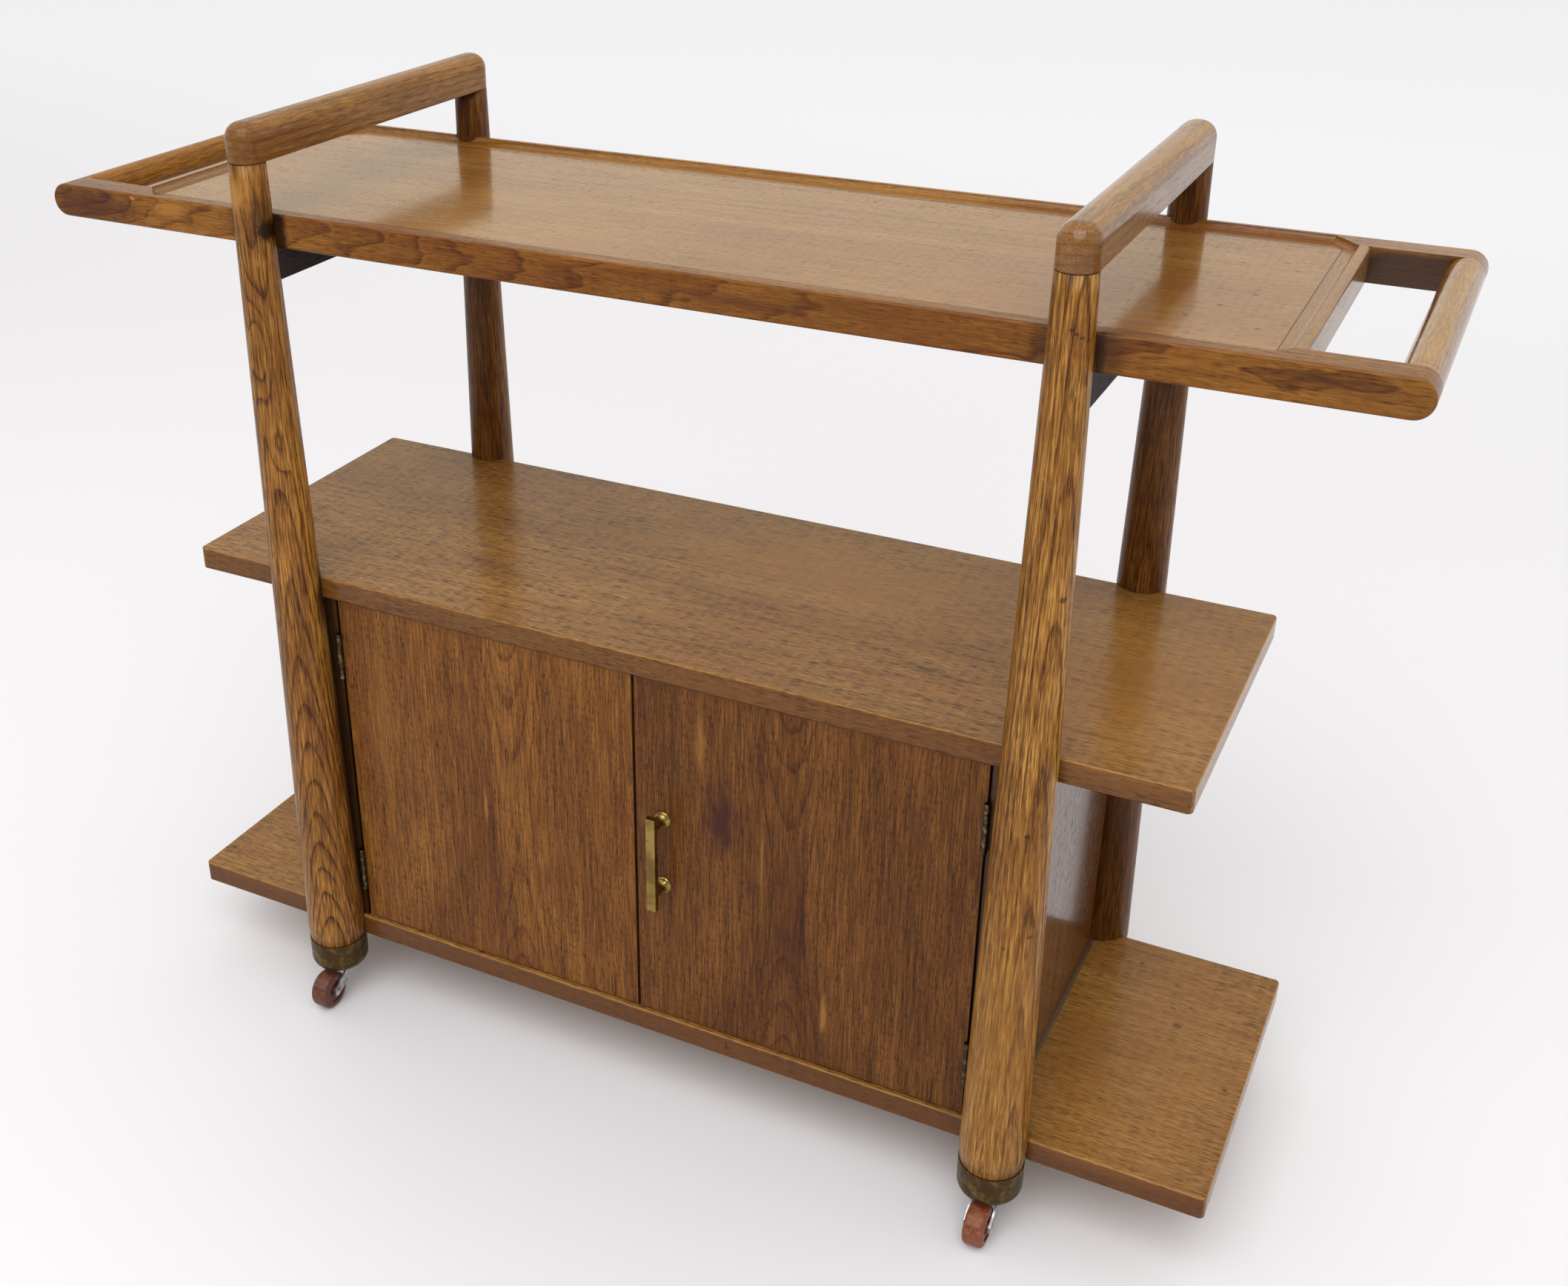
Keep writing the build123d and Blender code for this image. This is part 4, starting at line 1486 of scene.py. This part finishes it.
def screw_row_tree() -> NodeMesh:
    """Builds the tree of a row of slotted screw heads.

    Returns:
        The tree.
    """
    tree = NodeMesh("Screw row")
    count = tree.size("Count", "NodeSocketInt")
    start = tree.size("Start", "NodeSocketVector")
    pitch = tree.size("Pitch", "NodeSocketVector")
    facing = tree.size("Facing", "NodeSocketRotation")
    radius = tree.size("Head Radius")
    taper = tree.size("Head Taper")
    height = tree.size("Head Height")
    sides = tree.size("Sides", "NodeSocketInt")
    slot_width = tree.size("Slot Width")
    material = tree.size("Material", "NodeSocketMaterial")
    line = tree.step("GeometryNodeMeshLine", Count=count, Start_Location=start, Offset=pitch)
    head = tree.step(
        "GeometryNodeMeshCone",
        Vertices=sides,
        Radius_Top=tree.scaled(radius, taper),
        Radius_Bottom=radius,
        Depth=height,
    )
    right_across = tree.scaled(radius, 3.0)
    slot_size = tree.step("ShaderNodeCombineXYZ", X=right_across, Y=slot_width, Z=height)
    slot = tree.step("GeometryNodeMeshCube", Size=slot_size.outputs[0])
    lift = tree.step("ShaderNodeCombineXYZ", Z=height)
    raised = tree.step(
        "GeometryNodeTransform", Geometry=slot.outputs["Mesh"], Translation=lift.outputs[0]
    )
    cut = tree.tree.nodes.new("GeometryNodeMeshBoolean")
    cut.operation = "DIFFERENCE"
    tree.feed(cut.inputs["Mesh 1"], head.outputs["Mesh"])
    tree.feed(cut.inputs["Mesh 2"], raised.outputs[0])
    placed = tree.step(
        "GeometryNodeInstanceOnPoints",
        Points=line.outputs[0],
        Instance=cut.outputs["Mesh"],
        Rotation=facing,
    )
    tree.finish(placed.outputs[0], material)
    return tree


def add_piece(name: str, meshes: list[bpy.types.Mesh], body: str) -> bpy.types.Object:
    """Joins meshes into one piece at the origin and makes it ride on a body.

    Args:
        name: The piece's name.
        meshes: Its meshes, in the frame's coordinates.
        body: The CAD body that it moves with.

    Returns:
        The piece.
    """
    joined = bmesh.new()
    for part in meshes:
        joined.from_mesh(part)
    result = bpy.data.meshes.new(name)
    joined.to_mesh(result)
    joined.free()
    for material in meshes[0].materials:
        result.materials.append(material)
    piece = bpy.data.objects.new(name, result)
    bpy.context.scene.collection.objects.link(piece)
    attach(piece, body)
    LOG.info("%s: %d faces on %s", name, len(result.polygons), body)
    return piece


# Sub-assemblies


@dataclass
class SubAssembly:
    """Part of the cart: the CAD nodes that it dresses and the pieces that it adds."""

    dressed: list[str] = field(default_factory=list)

    def dress(self, name: str, material: bpy.types.Material) -> None:
        """Gives a CAD node its material.

        Args:
            name: The node's name.
            material: The material for all its faces.
        """
        for slot in node(name).material_slots:
            slot.material = material
        self.dressed.append(name)

    def dress_wood(self, name: str, finish: WoodFinish, figure: Figure) -> None:
        """Gives a wooden CAD node a material of its own, with the marks that MARKS has for it."""
        self.dress(name, finish.material(name, figure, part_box(name), MARKS.get(name, ())))


@dataclass
class ArchFrames(SubAssembly):
    """The four turned legs and the two bars over them."""

    foot_easing: float = 0.0015
    leg_sides: int = 96
    leg_courses: int = 48
    bar_figure: Figure = Figure(GrainAxis.ALONG_Y, pith_depth=0.09, slope=0.02, ring_width=0.007)
    bar_pith_offsets: tuple[float, float] = (0.0, 0.01)

    def build(self) -> None:
        """Turns the four legs and dresses the bars."""
        tree = turned_leg_tree()
        for corner in CORNERS:
            self.turn_leg(tree, corner)
        for side, finish, offset in zip(SIDES, (SATIN_BAR_WOOD, BAR_WOOD), self.bar_pith_offsets):
            figure = replace(self.bar_figure, pith_across=offset)
            self.dress_wood(f"arch_bar_{side}", finish, figure)

    def turn_leg(self, tree: NodeMesh, corner: str) -> None:
        """Turns one leg between its ferrule and its bar.

        Args:
            tree: The turned leg tree.
            corner: Which leg.
        """
        cad_name = f"leg_{corner}"
        low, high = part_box(cad_name)
        centre = (low + high) / 2
        ferrule_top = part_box(f"ferrule_{corner}")[1].z
        bar_low, bar_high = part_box(f"arch_bar_{corner.split('_')[1]}")
        marks = MARKS.get(cad_name, ())
        figure = LEG_FIGURES[corner]
        mesh = tree.mesh(
            cad_name,
            Foot_Radius=(high.x - low.x) / 2,
            Top_Radius=(bar_high.x - bar_low.x) / 2,
            Foot=(centre.x, centre.y, ferrule_top),
            Length=bar_low.z - ferrule_top,
            Foot_Easing=self.foot_easing,
            Sides=self.leg_sides,
            Courses=self.leg_courses,
            Material=LEG_WOODS[corner].material(cad_name, figure, (low, high), marks),
        )
        piece = add_piece(f"turned_{cad_name}", [mesh], "base")
        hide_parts(cad_name)


@dataclass
class Tray(SubAssembly):
    """The long tray: rails, cross rails, panel, round handles and the bearers below."""

    front_figure: Figure = Figure(
        GrainAxis.ALONG_X_ON_EDGE,
        pith_across=0.012,
        pith_depth=0.12,
        slope=0.075,
        bow=-0.075,
        waver=0.009,
        waver_length=0.13,
    )
    rear_figure: Figure = Figure(GrainAxis.ALONG_X, pith_across=0.02, pith_depth=0.07, slope=-0.02)
    panel_figure: Figure = Figure(GrainAxis.ALONG_X, pith_across=0.1, pith_depth=0.12, slope=0.01)
    end_figure: Figure = Figure(GrainAxis.ALONG_Y, pith_across=0.02)
    round_figure: Figure = Figure(GrainAxis.ALONG_Y)

    def build(self) -> None:
        """Dresses every piece of the tray."""
        self.dress_wood("tray_rail_front", RAIL_WOOD, self.front_figure)
        self.dress_wood("tray_rail_rear", REAR_RAIL_WOOD, self.rear_figure)
        for side, grip in zip(SIDES, (GOLDEN_BAR_WOOD, GLOSSY_BAR_WOOD)):
            self.dress_wood(f"tray_end_{side}", END_RAIL_WOOD, self.end_figure)
            self.dress_wood(f"tray_handle_{side}", grip, self.round_figure)
            self.dress_wood(f"bearer_{side}", BEARER_WOOD, self.round_figure)
        self.dress_wood("tray_panel", PANEL_WOOD, self.panel_figure)


@dataclass
class Shelves(SubAssembly):
    """The middle shelf over the cabinet and the bottom shelf under it."""

    middle_figure: Figure = Figure(GrainAxis.ALONG_X, pith_across=-0.08, pith_depth=0.14, slope=0.01)
    bottom_figure: Figure = Figure(GrainAxis.ALONG_X, pith_across=0.1, pith_depth=0.12, slope=-0.01)

    def build(self) -> None:
        """Dresses both shelves."""
        self.dress_wood("middle_shelf", SHELF_WOOD, self.middle_figure)
        self.dress_wood("bottom_shelf", SHELF_WOOD, self.bottom_figure)


@dataclass
class Cabinet(SubAssembly):
    """The cabinet between the shelves, with its two doors."""

    stile_figure: Figure = Figure(GrainAxis.ALONG_Z)
    side_figure: Figure = Figure(GrainAxis.ALONG_Z_SIDE, pith_depth=0.09)
    back_figure: Figure = Figure(GrainAxis.ALONG_X_ON_EDGE, pith_depth=0.1)
    left_door_figure: Figure = Figure(
        GrainAxis.ALONG_Z,
        pith_across=0.03,
        pith_depth=0.055,
        bow=-0.42,
        ring_width=0.0055,
        waver=0.005,
    )
    right_door_pith: float = -0.012

    def build(self) -> None:
        """Dresses the case and the doors."""
        right_door_figure = replace(self.left_door_figure, pith_across=self.right_door_pith)
        doors = ((DOOR_WOOD, self.left_door_figure), (DARK_DOOR_WOOD, right_door_figure))
        for side, (door_wood, door_figure) in zip(SIDES, doors):
            self.dress_wood(f"case_stile_{side}", CASE_WOOD, self.stile_figure)
            self.dress_wood(f"case_side_{side}", SIDE_WOOD, self.side_figure)
            self.dress_wood(f"door_{side}", door_wood, door_figure)
        self.dress_wood("case_back", CASE_WOOD, self.back_figure)


@dataclass
class Hardware(SubAssembly):
    """Hinges, pull, catch and strikes, and the small screws that hold them."""

    hinge_length: float = 0.0508
    leaf_parting: float = 0.0004
    leaf_edge: float = 0.0106
    screws_per_leaf: int = 3
    screw_radius: float = 0.0026
    screw_height: float = 0.0005
    screw_lift: float = 0.00005
    slot_width: float = 0.0006
    head_taper: float = 0.86
    head_sides: int = 28
    bolts: int = 2
    bolt_radius: float = 0.0038
    bolt_height: float = 0.0018
    bolt_slot: float = 0.0009

    def build(self) -> None:
        """Dresses the metal and drives the screws."""
        hinge = HINGE_BRASS.material("hinge_brass")
        pull = PULL_BRASS.material("pull_brass")
        steel = CASTER_STEEL.material("screw_steel")
        for side in SIDES:
            for part in ("leaves_case", "leaves_door", "pins"):
                self.dress(f"hinge_{part}_{side}", hinge)
            self.dress(f"strike_{side}", steel)
        self.dress("pull_bar", pull)
        self.dress("pull_feet", pull)
        self.dress("door_catch", CATCH_PLASTIC.material("catch_plastic"))
        tree = screw_row_tree()
        on_case = []
        for side, outward in zip(SIDES, (-1, 1)):
            on_case += self.leaf_screws(tree, side, outward, hinge)
            on_door = self.leaf_screws(tree, side, -outward, hinge)
            add_piece(f"hinge_screws_door_{side}", on_door, f"{side}_door")
        add_piece("hinge_screws_case", on_case, "base")
        self.fit_bolts(tree, steel)

    def leaf_screws(
        self, tree: NodeMesh, side: str, wood: int, material: bpy.types.Material
    ) -> list[bpy.types.Mesh]:
        """Makes the screws of the two leaves on one part of a door's hinges.

        Args:
            tree: The screw row tree.
            side: Which door.
            wood: The direction along X from the hinge's axis to the wood, 1 or -1. The heads
                face the other way.
            material: The screws' material.

        Returns:
            One mesh for each leaf.
        """
        low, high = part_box(f"hinge_pins_{side}")
        lift = self.leaf_parting / 2 + self.screw_height - self.screw_lift
        face_x = (low.x + high.x) / 2 + wood * lift
        row_y = (low.y + high.y) / 2 + self.leaf_edge
        pitch = self.hinge_length / self.screws_per_leaf
        half = self.hinge_length / 2
        return [
            tree.mesh(
                f"leaf_screws_{side}_{index}",
                Count=self.screws_per_leaf,
                Start=(face_x, row_y, centre_z - pitch),
                Pitch=(0.0, 0.0, pitch),
                Facing=(0.0, -wood * math.pi / 2, 0.0),
                Head_Radius=self.screw_radius,
                Head_Taper=self.head_taper,
                Head_Height=self.screw_height,
                Sides=self.head_sides,
                Slot_Width=self.slot_width,
                Material=material,
            )
            for index, centre_z in enumerate((low.z + half, high.z - half))
        ]

    def fit_bolts(self, tree: NodeMesh, material: bpy.types.Material) -> None:
        """Fits the two bolts that hold the pull from inside the right door.

        Args:
            tree: The screw row tree.
            material: The bolts' material.
        """
        low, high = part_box("pull_feet")
        radius = (high.x - low.x) / 2
        mesh = tree.mesh(
            "pull_bolts",
            Count=self.bolts,
            Start=((low.x + high.x) / 2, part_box("door_right")[1].y, low.z + radius),
            Pitch=(0.0, 0.0, high.z - low.z - 2 * radius),
            Facing=(-math.pi / 2, 0.0, 0.0),
            Head_Radius=self.bolt_radius,
            Head_Taper=self.head_taper,
            Head_Height=self.bolt_height,
            Sides=self.head_sides,
            Slot_Width=self.bolt_slot,
            Material=material,
        )
        add_piece("pull_bolts", [mesh], "right_door")


@dataclass
class Casters(SubAssembly):
    """Brass ferrules and the swivel casters under them."""

    steel_parts: tuple[str, ...] = ("socket", "fork", "axle")
    dark_corner: str = "front_left"

    def build(self) -> None:
        """Dresses the ferrules and casters."""
        for corner in CORNERS:
            low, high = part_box(f"ferrule_{corner}")
            centre = tuple((low + high) / 2)
            self.dress(f"ferrule_{corner}", FERRULE_BRASS.material(f"ferrule_{corner}", centre))
            steel = CASTER_STEEL.material(f"caster_{corner}", centre)
            for part in self.steel_parts:
                self.dress(f"caster_{part}_{corner}", steel)
            low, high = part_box(f"caster_wheel_{corner}")
            pressed = DARK_WHEEL_COMPOSITION if corner == self.dark_corner else WHEEL_COMPOSITION
            radius = (high.z - low.z) / 2
            wheel = pressed.material(f"wheel_{corner}", tuple((low + high) / 2), radius)
            self.dress(f"caster_wheel_{corner}", wheel)


@dataclass(frozen=True)
class Studio:
    """The camera at the photograph's angle, a pale floor and soft light."""

    camera_place: Point = (0.6961, -1.4100, 1.3049)
    yaw: float = math.radians(27.542)
    pitch: float = math.radians(27.166)
    roll: float = math.radians(-0.494)
    focal_length: float = 2394.8
    image_width: int = 2116
    image_height: int = 1736
    principal: tuple[float, float] = (918.75, 810.03)
    sensor: float = 36.0
    near_clip: float = 0.05
    floor_size: float = 60.0
    floor_rough: float = 0.55
    floor_colour: Colour = (0.82, 0.81, 0.825)
    far_floor_painted_light: Colour = (0.93, 0.93, 0.955)
    far_floor: tuple[float, float] = (1.5, 4.5)
    key_place: Point = (0.5, -2.4, 3.4)
    key_aim: Point = (0.0, 0.0, 0.5)
    key_size: float = 3.2
    key_power: float = 88.0
    sky: float = 1.0
    low_front: float = 0.32
    sky_behind: tuple[float, float] = (-0.75, 0.1)
    sky_above: tuple[float, float] = (0.2, 0.7)
    sky_colour: Colour = (0.98, 0.98, 1.0)
    wall_colour: Colour = (1.0, 0.94, 0.8)
    wall_behind: tuple[float, float] = (-0.2, 0.3)
    wall_foot: tuple[float, float] = (0.06, 0.18)
    wall_top: tuple[float, float] = (0.35, 0.65)

    def build(self) -> None:
        """Sets up the camera, the floor and the lights."""
        self.aim_camera()
        self.lay_floor()
        self.light_surroundings()
        self.hang_lamp()
        bpy.context.scene.view_settings.view_transform = "Standard"

    def aim_camera(self) -> None:
        """Places the camera as the photograph's lines give it."""
        ahead = Vector(
            (
                -math.sin(self.yaw) * math.cos(self.pitch),
                math.cos(self.yaw) * math.cos(self.pitch),
                -math.sin(self.pitch),
            )
        )
        level = Vector((math.cos(self.yaw), math.sin(self.yaw), 0.0))
        upward = level.cross(ahead)
        right = level * math.cos(self.roll) + upward * math.sin(self.roll)
        up = upward * math.cos(self.roll) - level * math.sin(self.roll)
        data = bpy.data.cameras.new("camera")
        data.sensor_width = self.sensor
        data.lens = self.focal_length / self.image_width * self.sensor
        data.shift_x = (self.image_width / 2 - self.principal[0]) / self.image_width
        data.shift_y = (self.principal[1] - self.image_height / 2) / self.image_width
        data.clip_start = self.near_clip
        camera = bpy.data.objects.new("camera", data)
        turn = Matrix((right, up, -ahead)).transposed().to_4x4()
        camera.matrix_world = Matrix.Translation(self.camera_place) @ turn
        bpy.context.scene.collection.objects.link(camera)
        bpy.context.scene.camera = camera

    def lay_floor(self) -> None:
        """Lays the plain floor, painted paler far behind the cart as painted light where the lamp
        lights it less.
        """
        half = self.floor_size / 2
        mesh = bpy.data.meshes.new("floor")
        corners = [(-half, -half, 0.0), (half, -half, 0.0), (half, half, 0.0), (-half, half, 0.0)]
        mesh.from_pydata(corners, [], [(0, 1, 2, 3)])
        floor = bpy.data.objects.new("floor", mesh)
        bpy.context.scene.collection.objects.link(floor)
        recipe = Recipe("floor")
        # Painted light: the floor's colour grows paler far behind the cart, where the lamp lights it
        # less.
        away = recipe.fade(recipe.place(ORIGIN)[1], *self.far_floor)
        recipe.give("Base Color", recipe.mix(away, self.floor_colour, self.far_floor_painted_light))
        recipe.give("Roughness", self.floor_rough)
        mesh.materials.append(recipe.material)

    def light_surroundings(self) -> None:
        """Makes the surroundings bright, dimmer low down in front, with a warm wall behind."""
        world = bpy.data.worlds.new("studio")
        world.use_nodes = True
        sky = Nodes(world.node_tree)
        background = sky.tree.nodes["Background"]
        source = sky.tree.nodes.new("ShaderNodeTexCoord")
        split = sky.tree.nodes.new("ShaderNodeSeparateXYZ")
        sky.feed(split.inputs[0], source.outputs["Generated"])
        ahead, height = split.outputs["Y"], split.outputs["Z"]
        behind = sky.fade(ahead, *self.sky_behind, self.low_front, self.sky)
        above = sky.fade(height, *self.sky_above, self.low_front, self.sky)
        sky.feed(background.inputs["Strength"], sky.math("MAXIMUM", behind, above))
        low_wall = sky.fade(height, *self.wall_top, 1.0, 0.0)
        wall = sky.scaled(sky.fade(ahead, *self.wall_behind), low_wall)
        wall = sky.scaled(wall, sky.fade(height, *self.wall_foot))
        sky.feed(background.inputs["Color"], sky.mix(wall, self.sky_colour, self.wall_colour))
        bpy.context.scene.world = world

    def hang_lamp(self) -> None:
        """Hangs one large soft lamp in front of the cart."""
        lamp = bpy.data.lights.new("overhead", "AREA")
        lamp.shape = "SQUARE"
        lamp.size = self.key_size
        lamp.energy = self.key_power
        holder = bpy.data.objects.new("overhead", lamp)
        holder.location = self.key_place
        aim = Vector(self.key_aim) - Vector(self.key_place)
        holder.rotation_euler = aim.to_track_quat("-Z", "Y").to_euler()
        bpy.context.scene.collection.objects.link(holder)


def main() -> None:
    """Builds the sub-assemblies in order, then the studio."""
    logging.basicConfig(level=logging.INFO, format="%(name)s %(message)s")
    for part in (ArchFrames(), Tray(), Shelves(), Cabinet(), Hardware(), Casters()):
        part.build()
        LOG.info("%s dressed %s", type(part).__name__, ", ".join(part.dressed))
    Studio().build()


if __name__ == "__main__":
    main()
